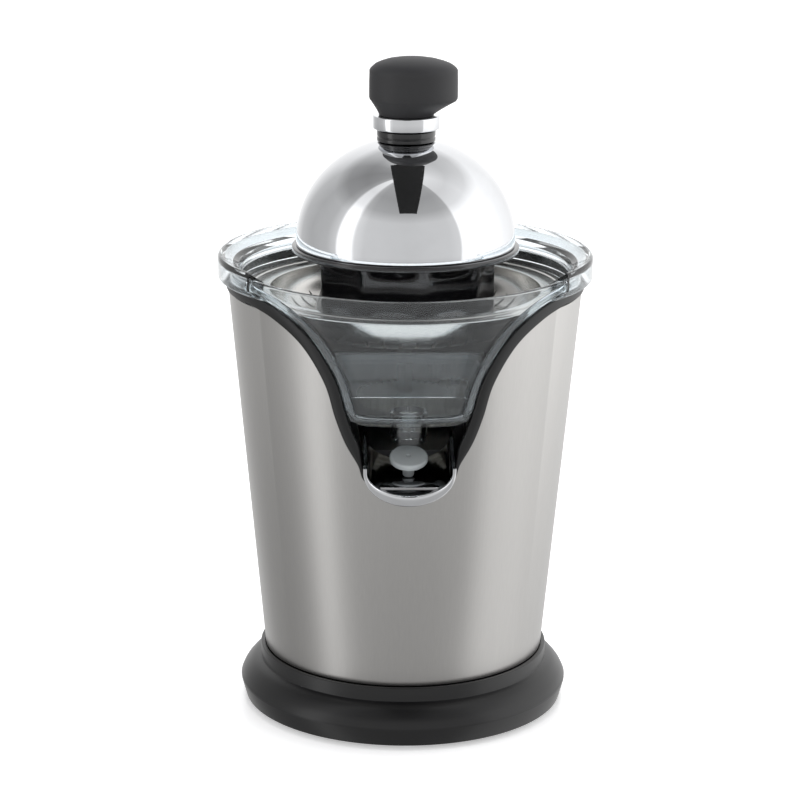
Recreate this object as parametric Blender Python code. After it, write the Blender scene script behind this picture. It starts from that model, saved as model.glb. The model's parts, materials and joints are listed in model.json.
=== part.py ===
"""Electric citrus press juicer with a tall tapered steel body, a clear juice bowl and a loose chrome press.

Every size below is in millimetres. The meshes are made in metres, +Z up, with the origin on the surface that
the feet stand on, under the middle of the body. The spout is on the -Y side.

Each part has its own function, and main() builds them from the bottom up.
"""

import math

import bmesh
import bpy
from mathutils import Matrix, Vector

MM = 0.001
WELD = 1e-6             # in metres: points nearer than this are one point
FLAT_ANGLE = math.radians(0.02)

# Clearances
GAP = 0.3               # between pieces that touch
RUN_GAP = 0.6           # between a piece that lifts off or turns and its neighbours
ROUND_SLACK = 0.5       # extra play between round parts whose facets don't line up

# Body: a cone that widens upwards, between the base and the top band
BODY_FOOT_Z = 31.0
BODY_HEIGHT = 200.0
BODY_FOOT_RADIUS = 75.95
BODY_TOP_RADIUS = 94.5
STEEL_THICKNESS = 1.0
HOUSING_WALL = 2.2

# Base
BASE_RADIUS = 89.5
BASE_EDGE_Z = 2.0
BASE_BAND_HEIGHT = 10.0
BASE_BAND_LEAN = 2.5
BASE_SKIRT_HEIGHT = 11.0
BASE_WALL = 2.6
COLLAR_LIP = 1.6        # how far the base collar stands out past the steel
COLLAR_PLUG = 7.0       # how deep the housing sits in the base collar
PLATE_THICKNESS = 2.5
PLATE_SCREW_RADIUS = 1.4
PLATE_SCREW_HEAD = 3.2
BOSS_RADIUS = 4.5
FOOT_RADIUS = 8.0
FOOT_CIRCLE = 60.0
GLAND_RADIUS = 5.0
GLAND_BORE = 2.6
GLAND_RISE = 14.0       # gland's axis above the foot of the body
GLAND_SETBACK = 12.0    # where the gland's frame starts, inside the steel's face

# Notch at the front of the steel: half of its outline as width and depth below the top of the body
NOTCH_TOP_SHARE = 0.889     # half width at the top, as a share of the top radius
NOTCH_POINTS = ((70.0, 3.2), (55.0, 14.5), (43.5, 33.0), (38.0, 51.0))
NOTCH_LOWER_POINTS = ((9.6, 64.5), (3.0, 76.0), (0.0, 84.0), (-9.2, 91.3))  # widths beyond the spout's
NOTCH_DEPTH = 93.5
NOTCH_STEPS = 2
TRIM_WIDTH = 6.0
TRIM_FOOT_WIDTH = 1.5
TRIM_BLEND_TOP = 66.0       # depth below the body's top where the band starts to narrow
TRIM_BLEND_FOOT = 80.0      # depth where it has its narrow width
TRIM_PROUD = 1.0
TRIM_TOP_HEIGHT = 6.2
TRIM_LIP_DEPTH = 4.0
TRIM_INNER_INSET = 4.2

# Juice bowl
RIM_OVERHANG = 5.5
RIM_HEIGHT = 12.1
RIM_LIP = 2.2
RIM_SLOPE = 6.2
RIM_INNER_INSET = 11.2
BOWL_WALL = 2.4
BOWL_LEDGE_DEPTH = 14.0     # below the rim's inner edge
BOWL_LEDGE_WIDTH = 6.6
BOWL_FLOOR_RISE = 1.3       # floor above the housing's deck
WINDOW_INSET = 1.0          # window's face behind the steel's face
WINDOW_TOP_DROP = 5.1       # window's top edge below the rim
WINDOW_BOTTOM_DEPTH = 52.5  # window's lower edge below the body's top
WELL_FLOOR = 4.5
WELL_BACK_REACH = 14.0      # well's rear wall behind the spout's hinge
OUTLET_REACH = 13.0         # outlet in front of the spout's hinge
OUTLET_RADIUS = 9.75
OUTLET_BORE = 7.6
OUTLET_END_DEPTH = 66.0     # lower end of the outlet below the body's top
TUBE_RADIUS = 9.0
TUBE_BORE = 6.4
TUBE_HEIGHT = 20.0

# Housing
DECK_DEPTH = 30.0           # deck's top below the body's top
DECK_THICKNESS = 3.0
NICHE_SIDE_GAP = 6.8        # beside the spout
NICHE_UPPER_HALF_WIDTH = 41.0
NICHE_STEP_DEPTH = 49.0
NICHE_WALL = 2.5
POST_RADIUS = 4.5
POST_PLACES = ((-45.0, 35.0), (-45.0, -25.0), (50.0, -25.0), (20.0, 58.0))

# Strainer
STRAINER_SHEET = 0.8
STRAINER_STEP_RADIUS = 72.5
STRAINER_DEPTH = 19.0
STRAINER_FLOOR_RADIUS = 58.0
STRAINER_WALL_STEPS = 4
STRAINER_HOLE_GAP = 1.2
STRAINER_SLOTS = 16
STRAINER_SLOT_WIDTH = 2.0

# Reamer
REAMER_RADIUS = 47.65
REAMER_SHOULDER = 3.2
REAMER_CONE_HEIGHT = 44.0
REAMER_RIBS = 9
REAMER_RIB_DEPTH = 5.0
REAMER_SKIRT_FLUTE = 1.6

# Press
PRESS_REST_RISE = 0.9       # underside of the press flange above the rim's top
FLANGE_HEIGHT = 3.0
FLANGE_PROUD = 2.3
DOME_RADIUS = 58.4
DOME_HEIGHT = 57.0
DOME_SHEET = 1.2
CUP_WALL = 2.0
CUP_GAP = 1.3           # space between the dome's sheet and the cup inside it
NECK_RADIUS = 15.6
NECK_HEIGHT = 6.9
COLLAR_RADIUS = 17.7
COLLAR_HEIGHT = 7.2
KNOB_NECK_RADIUS = 14.5
KNOB_HALF_LENGTH = 23.4
KNOB_HALF_WIDTH = 20.5
KNOB_OFFSET = 3.7
KNOB_HEIGHT = 30.3
PRESS_SCREW_RADIUS = 2.6
PRESS_SCREW_HEAD = 6.0

# Spout
SPOUT_OPEN_ANGLE = 20.0
SPOUT_HINGE_SETBACK = 26.57  # hinge behind the steel's face at its height
SPOUT_HINGE_DEPTH = 85.5    # hinge below the body's top
SPOUT_HALF_WIDTH = 23.2
SPOUT_WALL = 1.5
SPOUT_REACH = 36.0          # lip in front of the hinge, when open
SPOUT_BACK = 5.0            # rear wall behind the hinge, when open
SPOUT_U_DEPTH = 15.5
SPOUT_FLOOR_SLOPE = 12.5    # when open
SPOUT_LIP = 4.2             # how far the lip hangs below the trough
SPOUT_LIP_LENGTH = 3.0
SPOUT_LIP_PROUD = 0.5
BARREL_RADIUS = 3.2
PIN_RADIUS = 1.5
PLUG_RADIUS = 9.9
PLUG_THICKNESS = 3.0
PLUG_STEM_RADIUS = 3.0

# Drive
SHAFT_RADIUS = 4.3          # over the corners of the six-sided drive shaft
SHAFT_FLANGE = 7.0
SHAFT_TRAVEL = 1.5
SWITCH_BUTTON_RADIUS = 1.5
SWITCH_BUTTON_HEIGHT = 4.0
SEAL_RADIUS = 12.0
SEAL_HEIGHT = 5.0
MODULE_ONE = 1.2
MODULE_TWO = 1.35
MOTOR_TEETH = 10
LAY_TEETH = 40
LAY_PINION_TEETH = 12
OUTPUT_TEETH = 36
LAY_BEARING = 30.0          # direction from the output shaft to the layshaft, in degrees from +X
GEAR_WIDTH = 6.0
GEARBOX_HEIGHT = 47.0       # space between the gear plate and the deck
GEAR_PLATE_THICKNESS = 3.0
GEAR_PLATE_RADIUS = 70.0
LAY_PIN_RADIUS = 2.5
BUSH_WALL = 1.8

# Motor
STATOR_LENGTH = 64.0
STATOR_WIDTH = 54.0
STATOR_HEIGHT = 35.0
BORE_RADIUS = 19.0
AIR_GAP = 0.7
MOTOR_SHAFT_RADIUS = 3.0
BRACKET_THICKNESS = 4.0
BRACKET_WIDTH = 20.0
BRACKET_LEG = 13.4
COIL_DEPTH = 6.0
COIL_INSET = 8.0
COIL_BAND = 5.5
COMMUTATOR_RADIUS = 7.2
COMMUTATOR_HEIGHT = 9.0
BRUSH_LENGTH = 12.0
BEARING_RADIUS = 7.5
FAN_RADIUS = 28.0
FAN_HEIGHT = 9.0
FAN_BLADES = 9

BODY_FACETS = 36
FINE = 32                   # facets of the large round parts
MEDIUM = 22
SMALL = 12

# Levels worked out from the sizes above
TOP = BODY_FOOT_Z + BODY_HEIGHT
CONE_SLOPE = (BODY_TOP_RADIUS - BODY_FOOT_RADIUS) / BODY_HEIGHT
TRIM_TOP = TOP + TRIM_TOP_HEIGHT
RIM_BOTTOM = TRIM_TOP + GAP
RIM_TOP = RIM_BOTTOM + RIM_HEIGHT
RIM_RADIUS = BODY_TOP_RADIUS + RIM_OVERHANG
RIM_INNER_RADIUS = RIM_RADIUS - RIM_INNER_INSET
RIM_INNER_Z = RIM_TOP - RIM_SLOPE
WINDOW_TOP = RIM_TOP - WINDOW_TOP_DROP
WINDOW_BOTTOM = TOP - WINDOW_BOTTOM_DEPTH
DECK_TOP = TOP - DECK_DEPTH
DECK_BOTTOM = DECK_TOP - DECK_THICKNESS
BOWL_BOTTOM = DECK_TOP + BOWL_FLOOR_RISE
BOWL_FLOOR = BOWL_BOTTOM + BOWL_WALL
LEDGE_Z = RIM_INNER_Z - BOWL_LEDGE_DEPTH
BOWL_RADIUS = RIM_INNER_RADIUS - 1.2
LEDGE_RADIUS = BOWL_RADIUS - BOWL_LEDGE_WIDTH
OUTLET_END = TOP - OUTLET_END_DEPTH
NOTCH_FOOT = TOP - NOTCH_DEPTH
NICHE_FLOOR = NOTCH_FOOT + TRIM_FOOT_WIDTH
NICHE_STEP_Z = TOP - NICHE_STEP_DEPTH
STRAINER_TOP = LEDGE_Z + GAP + STRAINER_SHEET
STRAINER_FLOOR = STRAINER_TOP - STRAINER_DEPTH
REAMER_BOTTOM = STRAINER_FLOOR + 1.7
PRESS_BOTTOM = RIM_TOP + PRESS_REST_RISE
SHOULDER_Z = PRESS_BOTTOM - GAP
FLANGE_TOP = PRESS_BOTTOM + FLANGE_HEIGHT
DOME_BOTTOM = FLANGE_TOP + GAP
NECK_TOP = DOME_BOTTOM + DOME_HEIGHT + NECK_HEIGHT - 2.0
COLLAR_TOP = NECK_TOP + COLLAR_HEIGHT
KNOB_BOTTOM = COLLAR_TOP + GAP
HINGE_Z = TOP - SPOUT_HINGE_DEPTH
SPOUT_HINGE_Y = SPOUT_HINGE_SETBACK + CONE_SLOPE * SPOUT_HINGE_DEPTH - BODY_TOP_RADIUS
OUTLET_Y = SPOUT_HINGE_Y - OUTLET_REACH
WELL_BACK_Y = SPOUT_HINGE_Y + WELL_BACK_REACH
NICHE_HALF_WIDTH = SPOUT_HALF_WIDTH + NICHE_SIDE_GAP
GEAR_PLATE_TOP = DECK_BOTTOM - GEARBOX_HEIGHT
GEAR_PLATE_BOTTOM = GEAR_PLATE_TOP - GEAR_PLATE_THICKNESS
STAGE_ONE_Z = GEAR_PLATE_TOP + 5.0
STAGE_TWO_Z = STAGE_ONE_Z + GEAR_WIDTH + 2.5
STAGE_ONE_DISTANCE = MODULE_ONE * (MOTOR_TEETH + LAY_TEETH) / 2
STAGE_TWO_DISTANCE = MODULE_TWO * (LAY_PINION_TEETH + OUTPUT_TEETH) / 2
LAY_X = STAGE_TWO_DISTANCE * math.cos(math.radians(LAY_BEARING))
LAY_Y = STAGE_TWO_DISTANCE * math.sin(math.radians(LAY_BEARING))
MOTOR_X = 0.0
MOTOR_Y = LAY_Y + math.sqrt(STAGE_ONE_DISTANCE ** 2 - (LAY_X - MOTOR_X) ** 2)
MOTOR_TOP = GEAR_PLATE_BOTTOM - GAP
STATOR_TOP = MOTOR_TOP - BRACKET_THICKNESS - BRACKET_LEG
STATOR_BOTTOM = STATOR_TOP - STATOR_HEIGHT
MOTOR_BOTTOM = STATOR_BOTTOM - BRACKET_LEG - BRACKET_THICKNESS

COLOURS = {
    "black_satin": ((0.018, 0.018, 0.020), 0.38, 0.0),
    "black_gloss": ((0.010, 0.010, 0.012), 0.10, 0.0),
    "soft_grey": ((0.035, 0.036, 0.038), 0.62, 0.0),
    "brushed_steel": ((0.56, 0.55, 0.53), 0.32, 1.0),
    "chrome": ((0.72, 0.73, 0.75), 0.06, 1.0),
    "clear": ((0.80, 0.84, 0.86), 0.06, 0.0),
    "silicone": ((0.42, 0.45, 0.46), 0.55, 0.0),
    "rubber": ((0.020, 0.020, 0.020), 0.80, 0.0),
    "laminations": ((0.22, 0.22, 0.24), 0.45, 1.0),
    "copper": ((0.62, 0.28, 0.12), 0.35, 1.0),
    "bronze": ((0.52, 0.36, 0.16), 0.38, 1.0),
    "nylon": ((0.78, 0.76, 0.68), 0.50, 0.0),
    "zinc": ((0.45, 0.46, 0.48), 0.40, 1.0),
    "carbon": ((0.03, 0.03, 0.03), 0.70, 0.0),
}


# Shapes

def cone_radius(z):
    """Radius of the steel's outer face at height z."""
    return BODY_FOOT_RADIUS + CONE_SLOPE * (z - BODY_FOOT_Z)


def object_from(mesh, name):
    """Close a bmesh into an object, with its faces pointing out."""
    bmesh.ops.recalc_face_normals(mesh, faces=mesh.faces)
    data = bpy.data.meshes.new(name)
    mesh.to_mesh(data)
    mesh.free()
    thing = bpy.data.objects.new(name, data)
    bpy.context.scene.collection.objects.link(thing)
    return thing


def turned(outline, steps=FINE, name="tool"):
    """Turn a closed outline of (radius, z) points about Z; points at radius 0 close on the axis."""
    mesh = bmesh.new()
    corners = [mesh.verts.new((r * MM, 0.0, z * MM)) for r, z in outline]
    edges = []
    for here, there in zip(corners, corners[1:] + corners[:1]):
        if here.co.x > 0 or there.co.x > 0:
            edges.append(mesh.edges.new((here, there)))
    bmesh.ops.spin(mesh, geom=corners + edges, cent=(0, 0, 0), axis=(0, 0, 1),
                   angle=2 * math.pi, steps=steps, use_merge=True)
    bmesh.ops.remove_doubles(mesh, verts=mesh.verts, dist=1e-7)
    bmesh.ops.dissolve_degenerate(mesh, edges=mesh.edges, dist=1e-7)
    return object_from(mesh, name)


def extruded(outline, low, high, axis="Z", name="tool"):
    """Extrude a closed outline. Along Z the outline is (x, y); along Y it is (x, z); along X it is (y,
    z)."""
    place = {"Z": lambda a, b, c: (a, b, c), "Y": lambda a, b, c: (a, c, b), "X": lambda a, b,
             c: (c, a, b)}[axis]
    mesh = bmesh.new()
    corners = [mesh.verts.new(Vector(place(a, b, low)) * MM) for a, b in outline]
    face = mesh.faces.new(corners)
    grown = bmesh.ops.extrude_face_region(mesh, geom=[face])["geom"]
    moved = [part for part in grown if isinstance(part, bmesh.types.BMVert)]
    bmesh.ops.translate(mesh, verts=moved, vec=Vector(place(0.0, 0.0, high - low)) * MM)
    return object_from(mesh, name)


def block(low, high, name="tool"):
    """A box between two corners."""
    mesh = bmesh.new()
    size = [(b - a) * MM for a, b in zip(low, high)]
    middle = [(a + b) * MM / 2 for a, b in zip(low, high)]
    bmesh.ops.create_cube(mesh, size=1.0, matrix=Matrix.Translation(middle) @ Matrix.Diagonal((*size, 1.0)))
    return object_from(mesh, name)


def rod(radius, low, high, place=(0.0, 0.0), steps=SMALL, name="tool"):
    """A round bar along Z at (x, y)."""
    mesh = bmesh.new()
    middle = Vector((place[0], place[1], (low + high) / 2)) * MM
    bmesh.ops.create_cone(mesh, cap_ends=True, segments=steps, radius1=radius * MM, radius2=radius * MM,
                          depth=(high - low) * MM, matrix=Matrix.Translation(middle))
    return object_from(mesh, name)


def cross_rod(radius, left, right, y, z, steps=SMALL, name="tool"):
    """A round bar along X at (y, z)."""
    bar = rod(radius, left, right, steps=steps, name=name)
    bar.data.transform(Matrix.Translation(Vector((0, y, z)) * MM) @ Matrix.Rotation(math.pi / 2, 4, "Y"))
    return bar


def combine(target, tools, operation):
    """Cut tools from the target, join them to it or keep what they share. The tools are used up."""
    group = bpy.data.collections.new("tools")
    for tool in tools:
        group.objects.link(tool)
    boolean = target.modifiers.new("shape", "BOOLEAN")
    boolean.operation = operation
    boolean.operand_type = "COLLECTION"
    boolean.collection = group
    boolean.solver = "EXACT"
    graph = bpy.context.evaluated_depsgraph_get()
    graph.update()
    shaped = bpy.data.meshes.new_from_object(target.evaluated_get(graph))
    target.modifiers.clear()
    target.data = shaped
    bpy.data.collections.remove(group)
    for tool in tools:
        bpy.data.objects.remove(tool)
    tidy(target)
    return target


def tidy(thing):
    """Merge points that lie on each other and faces that lie in one plane, and leave only triangles."""
    mesh = bmesh.new()
    mesh.from_mesh(thing.data)
    bmesh.ops.remove_doubles(mesh, verts=mesh.verts, dist=WELD)
    bmesh.ops.dissolve_degenerate(mesh, edges=mesh.edges, dist=WELD)
    bmesh.ops.dissolve_limit(mesh, angle_limit=FLAT_ANGLE, verts=mesh.verts, edges=mesh.edges)
    bmesh.ops.triangulate(mesh, faces=mesh.faces)
    mesh.to_mesh(thing.data)
    mesh.free()


def cut(target, *tools):
    return combine(target, tools, "DIFFERENCE")


def join(target, *tools):
    return combine(target, tools, "UNION")


def keep(target, tool):
    return combine(target, (tool,), "INTERSECT")


def finish(thing, name, colour, place=(0.0, 0.0, 0.0), turn=None):
    """Name a part, shade it, give it its material and put it in place."""
    thing.name = name
    thing.data.name = name
    tidy(thing)
    thing.data.shade_smooth()
    thing.data.set_sharp_from_angle(angle=math.radians(30))
    base, roughness, metallic = COLOURS[colour]
    material = bpy.data.materials.new(f"{name}_{colour}")
    material.use_nodes = True
    shader = material.node_tree.nodes["Principled BSDF"]
    shader.inputs["Base Color"].default_value = (*base, 1.0)
    shader.inputs["Roughness"].default_value = roughness
    shader.inputs["Metallic"].default_value = metallic
    if colour == "clear":
        shader.inputs["Transmission Weight"].default_value = 0.9
    thing.data.materials.clear()
    thing.data.materials.append(material)
    thing.location = Vector(place) * MM
    if turn:
        thing.rotation_euler = turn
    return thing


def copy_of(thing, name, place):
    """A second part with the same shape and material, in its own place."""
    twin = bpy.data.objects.new(name, thing.data)
    twin.location = Vector(place) * MM
    bpy.context.scene.collection.objects.link(twin)
    return twin


def smooth_line(points, steps):
    """A Catmull-Rom curve through the points, with a number of steps between each two."""
    line = []
    padded = [points[0], *points, points[-1]]
    for before, here, there, after in zip(padded, padded[1:], padded[2:], padded[3:]):
        for step in range(steps):
            t = step / steps
            line.append(tuple(
                0.5 * (2 * b + (c - a) * t + (2 * a - 5 * b + 4 * c - d) * t * t
                       + (3 * b - a - 3 * c + d) * t ** 3)
                for a, b, c, d in zip(before, here, there, after)))
    return line + [points[-1]]


def trim_width_at(z):
    """Width of the black band along the notch, which narrows around the spout."""
    share = (TOP - z - TRIM_BLEND_TOP) / (TRIM_BLEND_FOOT - TRIM_BLEND_TOP)
    share = min(max(share, 0.0), 1.0)
    return TRIM_WIDTH + (TRIM_FOOT_WIDTH - TRIM_WIDTH) * share * share * (3 - 2 * share)


def notch_half(inset=0.0, band=0.0):
    """Half of the notch's outline as (x, z), from its top to its foot.

    band is how much of the black band's width is taken off, from 0 to 1, and inset is taken off on top of
    that.
    """
    widest = BODY_TOP_RADIUS * NOTCH_TOP_SHARE
    points = [(widest, TOP + 1.0)] + [(x, TOP - depth) for x, depth in NOTCH_POINTS]
    points += [(SPOUT_HALF_WIDTH + x, TOP - depth) for x, depth in NOTCH_LOWER_POINTS]
    points.append((0.0, NOTCH_FOOT))
    line = smooth_line(points, NOTCH_STEPS)
    half = []
    for index, (x, z) in enumerate(line):
        before = line[max(index - 1, 0)]
        after = line[min(index + 1, len(line) - 1)]
        along = Vector((after[0] - before[0], after[1] - before[1])).normalized()
        if index == len(line) - 1:
            along = Vector((-1.0, 0.0))
        inward = Vector((along.y, -along.x))
        distance = inset + band * trim_width_at(z)
        half.append((max(x + inward.x * distance, 0.0), z + inward.y * distance))
    return half


def notch_tool(inset=0.0, band=0.0, foot=None, top=None, front=-140.0, back=-30.0):
    """The notch's outline as a solid along Y, open upwards to top and cut straight at foot when one is
    given."""
    top = top or TOP + 60.0
    half = notch_half(inset, band)
    if foot is not None:
        above = [point for point in half if point[1] > foot + 1.0]
        here = above[-1]
        below = half[len(above)]
        share = (here[1] - foot) / (here[1] - below[1])
        half = above + [(here[0] + (below[0] - here[0]) * share, foot)]
    else:
        half = half[:-1]
        half.append((0.0, notch_half(inset, band)[-1][1]))
    right = [(half[0][0], top)] + half
    left = [(-x, z) for x, z in reversed(right) if x > 0.0]
    return extruded(right + left, front, back, axis="Y")


def cone_solid(offset, low, high, steps=FINE):
    """The body's cone as a solid, its radius changed by offset."""
    return turned([(cone_radius(low) + offset, low), (cone_radius(high) + offset, high), (0.0, high),
                   (0.0, low)],
                  steps)


def cone_ring(outer, inner, low, high, steps=FINE):
    """A shell that follows the body's cone between two offsets from the steel's outer face."""
    return turned([(cone_radius(low) + outer, low), (cone_radius(high) + outer, high),
                   (cone_radius(high) + inner, high), (cone_radius(low) + inner, low)], steps)


# Base

def base_levels():
    crease_two = BASE_EDGE_Z + BASE_BAND_HEIGHT
    crease_one = crease_two + BASE_SKIRT_HEIGHT
    collar = BODY_FOOT_RADIUS + STEEL_THICKNESS + COLLAR_LIP
    return crease_two, crease_one, collar


def make_base_skirt():
    """The black foot: a leaning band, a rounded skirt and a collar that the body stands in."""
    crease_two, crease_one, collar = base_levels()
    rise = crease_one - crease_two
    run = BASE_RADIUS - collar - 0.6
    arc = [(collar + 0.6 + run * math.cos(angle), crease_two + rise * math.sin(angle))
           for angle in (0.0, 0.42, 0.88, math.pi / 2)]
    outer = [(BASE_RADIUS - BASE_BAND_LEAN, BASE_EDGE_Z)] + arc + [(collar, crease_one + 1.6),
                                                                   (collar, BODY_FOOT_Z)]
    inner_collar = collar - BASE_WALL
    inner = [(inner_collar, BODY_FOOT_Z), (inner_collar, crease_one)]
    inner += [(r - BASE_WALL, z - BASE_WALL * 0.6) for r, z in reversed(arc[:-1])]
    inner += [(BASE_RADIUS - BASE_BAND_LEAN - BASE_WALL, BASE_EDGE_Z)]
    skirt = turned(outer + inner)
    for index in range(4):
        skirt = join(skirt, rod(BOSS_RADIUS, plate_top() + GAP, crease_one - 3.2, screw_place(index), 8))
    for index in range(4):
        skirt = cut(skirt, rod(PLATE_SCREW_RADIUS + GAP, plate_top() - 1, crease_one - 8.0,
                               screw_place(index), 8))
    return finish(skirt, "base_skirt", "black_satin")


def screw_circle():
    """Radius of the ring of screws that hold the base plate: under the rounded skirt's wall."""
    return BASE_RADIUS - BASE_WALL - BOSS_RADIUS - 3.2


def screw_place(index):
    angle = math.pi / 2 * index
    return screw_circle() * math.cos(angle), screw_circle() * math.sin(angle)


def foot_place(index):
    angle = math.pi / 4 + math.pi / 2 * index
    return FOOT_CIRCLE * math.cos(angle), FOOT_CIRCLE * math.sin(angle)


def plate_bottom():
    return BASE_EDGE_Z + 0.7


def plate_top():
    return plate_bottom() + PLATE_THICKNESS


def make_base_plate():
    """The bottom plate, with cooling slots, in the foot of the base."""
    radius = BASE_RADIUS - BASE_BAND_LEAN - BASE_WALL - GAP
    plate = rod(radius, plate_bottom(), plate_top(), steps=FINE)
    for index in range(4):
        plate = cut(plate, rod(PLATE_SCREW_RADIUS + GAP, 0.0, plate_top() + 1, screw_place(index), 8))
        plate = cut(plate, rod(FOOT_RADIUS / 2 + GAP, 0.0, plate_top() + 1, foot_place(index), 12))
    for index in range(-2, 3):
        y = index * 10.0
        plate = cut(plate, block((-26, y - 2, 0), (26, y + 2, plate_top() + 1)))
    return finish(plate, "base_plate", "black_satin")


def make_feet():
    """Four rubber feet, each with a stub that snaps into the bottom plate."""
    profile = [(0.0, 0.0), (FOOT_RADIUS - 0.6, 0.0), (FOOT_RADIUS, 0.6), (FOOT_RADIUS, plate_bottom() - GAP),
               (FOOT_RADIUS / 2, plate_bottom() - GAP), (FOOT_RADIUS / 2, plate_top()), (0.0, plate_top())]
    first = finish(turned(profile, SMALL), "foot_1", "rubber", (*foot_place(0), 0.0))
    for index in range(1, 4):
        copy_of(first, f"foot_{index + 1}", (*foot_place(index), 0.0))


def screw_solid(shank, head, head_height, length):
    """A pan head screw that points up, its head's underside at z 0."""
    return turned([(0.0, -head_height), (head * 0.8, -head_height), (head, -head_height * 0.5), (head, 0.0),
                   (shank, 0.0), (shank, length), (0.0, length)], 8)


def make_base_screws():
    """Four screws through the bottom plate into the skirt's bosses."""
    head_height = plate_bottom() - GAP - 0.7
    place = (*screw_place(0), plate_bottom() - GAP)
    screw = screw_solid(PLATE_SCREW_RADIUS, PLATE_SCREW_HEAD, head_height, 11.0)
    first = finish(screw, "base_screw_1", "zinc", place)
    for index in range(1, 4):
        copy_of(first, f"base_screw_{index + 1}", (*screw_place(index), plate_bottom() - GAP))


# Body

def make_steel_shell():
    """The brushed steel sleeve, a cone with the bell shaped notch at the front."""
    shell = cone_ring(0.0, -STEEL_THICKNESS, BODY_FOOT_Z + GAP, TOP - GAP, BODY_FACETS)
    return finish(cut(shell, notch_tool(), gland_hole()), "steel_shell", "brushed_steel")


def make_trim_frame():
    """The black band around the top of the body, which dips along the notch."""
    inner = BODY_TOP_RADIUS - TRIM_INNER_INSET
    outer = BODY_TOP_RADIUS + TRIM_PROUD + 0.9
    lip_inner = BODY_TOP_RADIUS + 0.4
    ring = turned([(outer, TOP - TRIM_LIP_DEPTH), (outer, TRIM_TOP - 0.8), (outer - 0.8, TRIM_TOP),
                   (inner, TRIM_TOP),
                   (inner, TOP + GAP), (lip_inner, TOP + GAP), (lip_inner, TOP - TRIM_LIP_DEPTH)],
                  BODY_FACETS)
    band = cone_ring(TRIM_PROUD, -STEEL_THICKNESS, NOTCH_FOOT - 4, TRIM_TOP - 0.8, BODY_FACETS)
    band = keep(band, notch_tool(inset=GAP, top=TRIM_TOP - 1.2))
    frame = join(ring, band)
    return finish(cut(frame, notch_tool(band=1.0)), "trim_frame", "black_satin")


def niche_outline(wall, top):
    """The niche's outline as (x, z): narrow around the spout and wider above it, grown by wall."""
    half = NICHE_HALF_WIDTH + wall
    upper = NICHE_UPPER_HALF_WIDTH + wall
    step = NICHE_STEP_Z - wall
    return [(-half, NICHE_FLOOR - wall), (half, NICHE_FLOOR - wall), (half, step), (upper, step),
            (upper, top),
            (-upper, top), (-upper, step), (-half, step)]


def make_inner_housing():
    """The black tub inside the steel: wall, deck under the bowl, niche for the spout and posts for the
    gears."""
    outer = -STEEL_THICKNESS - GAP
    inner = outer - HOUSING_WALL
    low = BODY_FOOT_Z - COLLAR_PLUG
    back = WELL_BACK_Y + RUN_GAP
    walls = extruded(niche_outline(NICHE_WALL, DECK_TOP + 1), -110, back + NICHE_WALL, axis="Y")
    lower = cut(cone_solid(inner, low - 1, DECK_BOTTOM, BODY_FACETS), walls)
    upper = cone_solid(inner, DECK_TOP, TOP + 1, BODY_FACETS)
    niche = extruded(niche_outline(0.0, DECK_TOP + 1), -110, back, axis="Y")
    niche = keep(niche, cone_solid(inner - 0.05, low, TOP, BODY_FACETS))
    housing = cone_solid(outer, low, TOP, BODY_FACETS)
    housing = cut(housing, lower, upper, niche, notch_tool(band=1.0, back=-40.0))
    housing = cut(housing, rod(SEAL_RADIUS + GAP, DECK_BOTTOM - 1, DECK_TOP + 1, steps=24))
    housing = cut(housing, cross_rod(PIN_RADIUS + GAP, -NICHE_HALF_WIDTH - NICHE_WALL - 1,
                                     NICHE_HALF_WIDTH + NICHE_WALL + 1, SPOUT_HINGE_Y, HINGE_Z, 12))
    for place in POST_PLACES:
        housing = join(housing, rod(POST_RADIUS, GEAR_PLATE_TOP + GAP, DECK_BOTTOM + 1, place, 12))
        housing = cut(housing, rod(PLATE_SCREW_RADIUS + GAP, GEAR_PLATE_TOP - 1, GEAR_PLATE_TOP + 12, place,
                                   8))
    return finish(cut(housing, gland_hole()), "inner_housing", "black_satin")


def gland_matrix():
    """Where the cable gland's axis runs: along Y through the rear of the steel, low down."""
    z = BODY_FOOT_Z + GLAND_RISE
    place = Matrix.Translation(Vector((0, cone_radius(z) - GLAND_SETBACK, z)) * MM)
    return place @ Matrix.Rotation(-math.pi / 2, 4, "X")


def gland_hole():
    """The round hole that the gland sits in, through the steel and the housing."""
    hole = rod(GLAND_RADIUS + GAP, -4.0, 20.0, steps=16)
    hole.data.transform(gland_matrix())
    return hole


def make_cord_gland():
    """The rubber gland in the rear wall where the mains lead would enter."""
    flange = GLAND_RADIUS + 3.0
    face = GLAND_SETBACK + GAP + flange * CONE_SLOPE + 0.15
    gland = turned([(GLAND_RADIUS, 3.0), (GLAND_RADIUS, face), (flange, face), (flange - 0.8, face + 2.5),
                    (GLAND_BORE, face + 2.5), (GLAND_BORE, 3.0)], 16)
    gland.data.transform(gland_matrix())
    return finish(gland, "cord_gland", "rubber")


# Bowl, strainer, reamer

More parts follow.
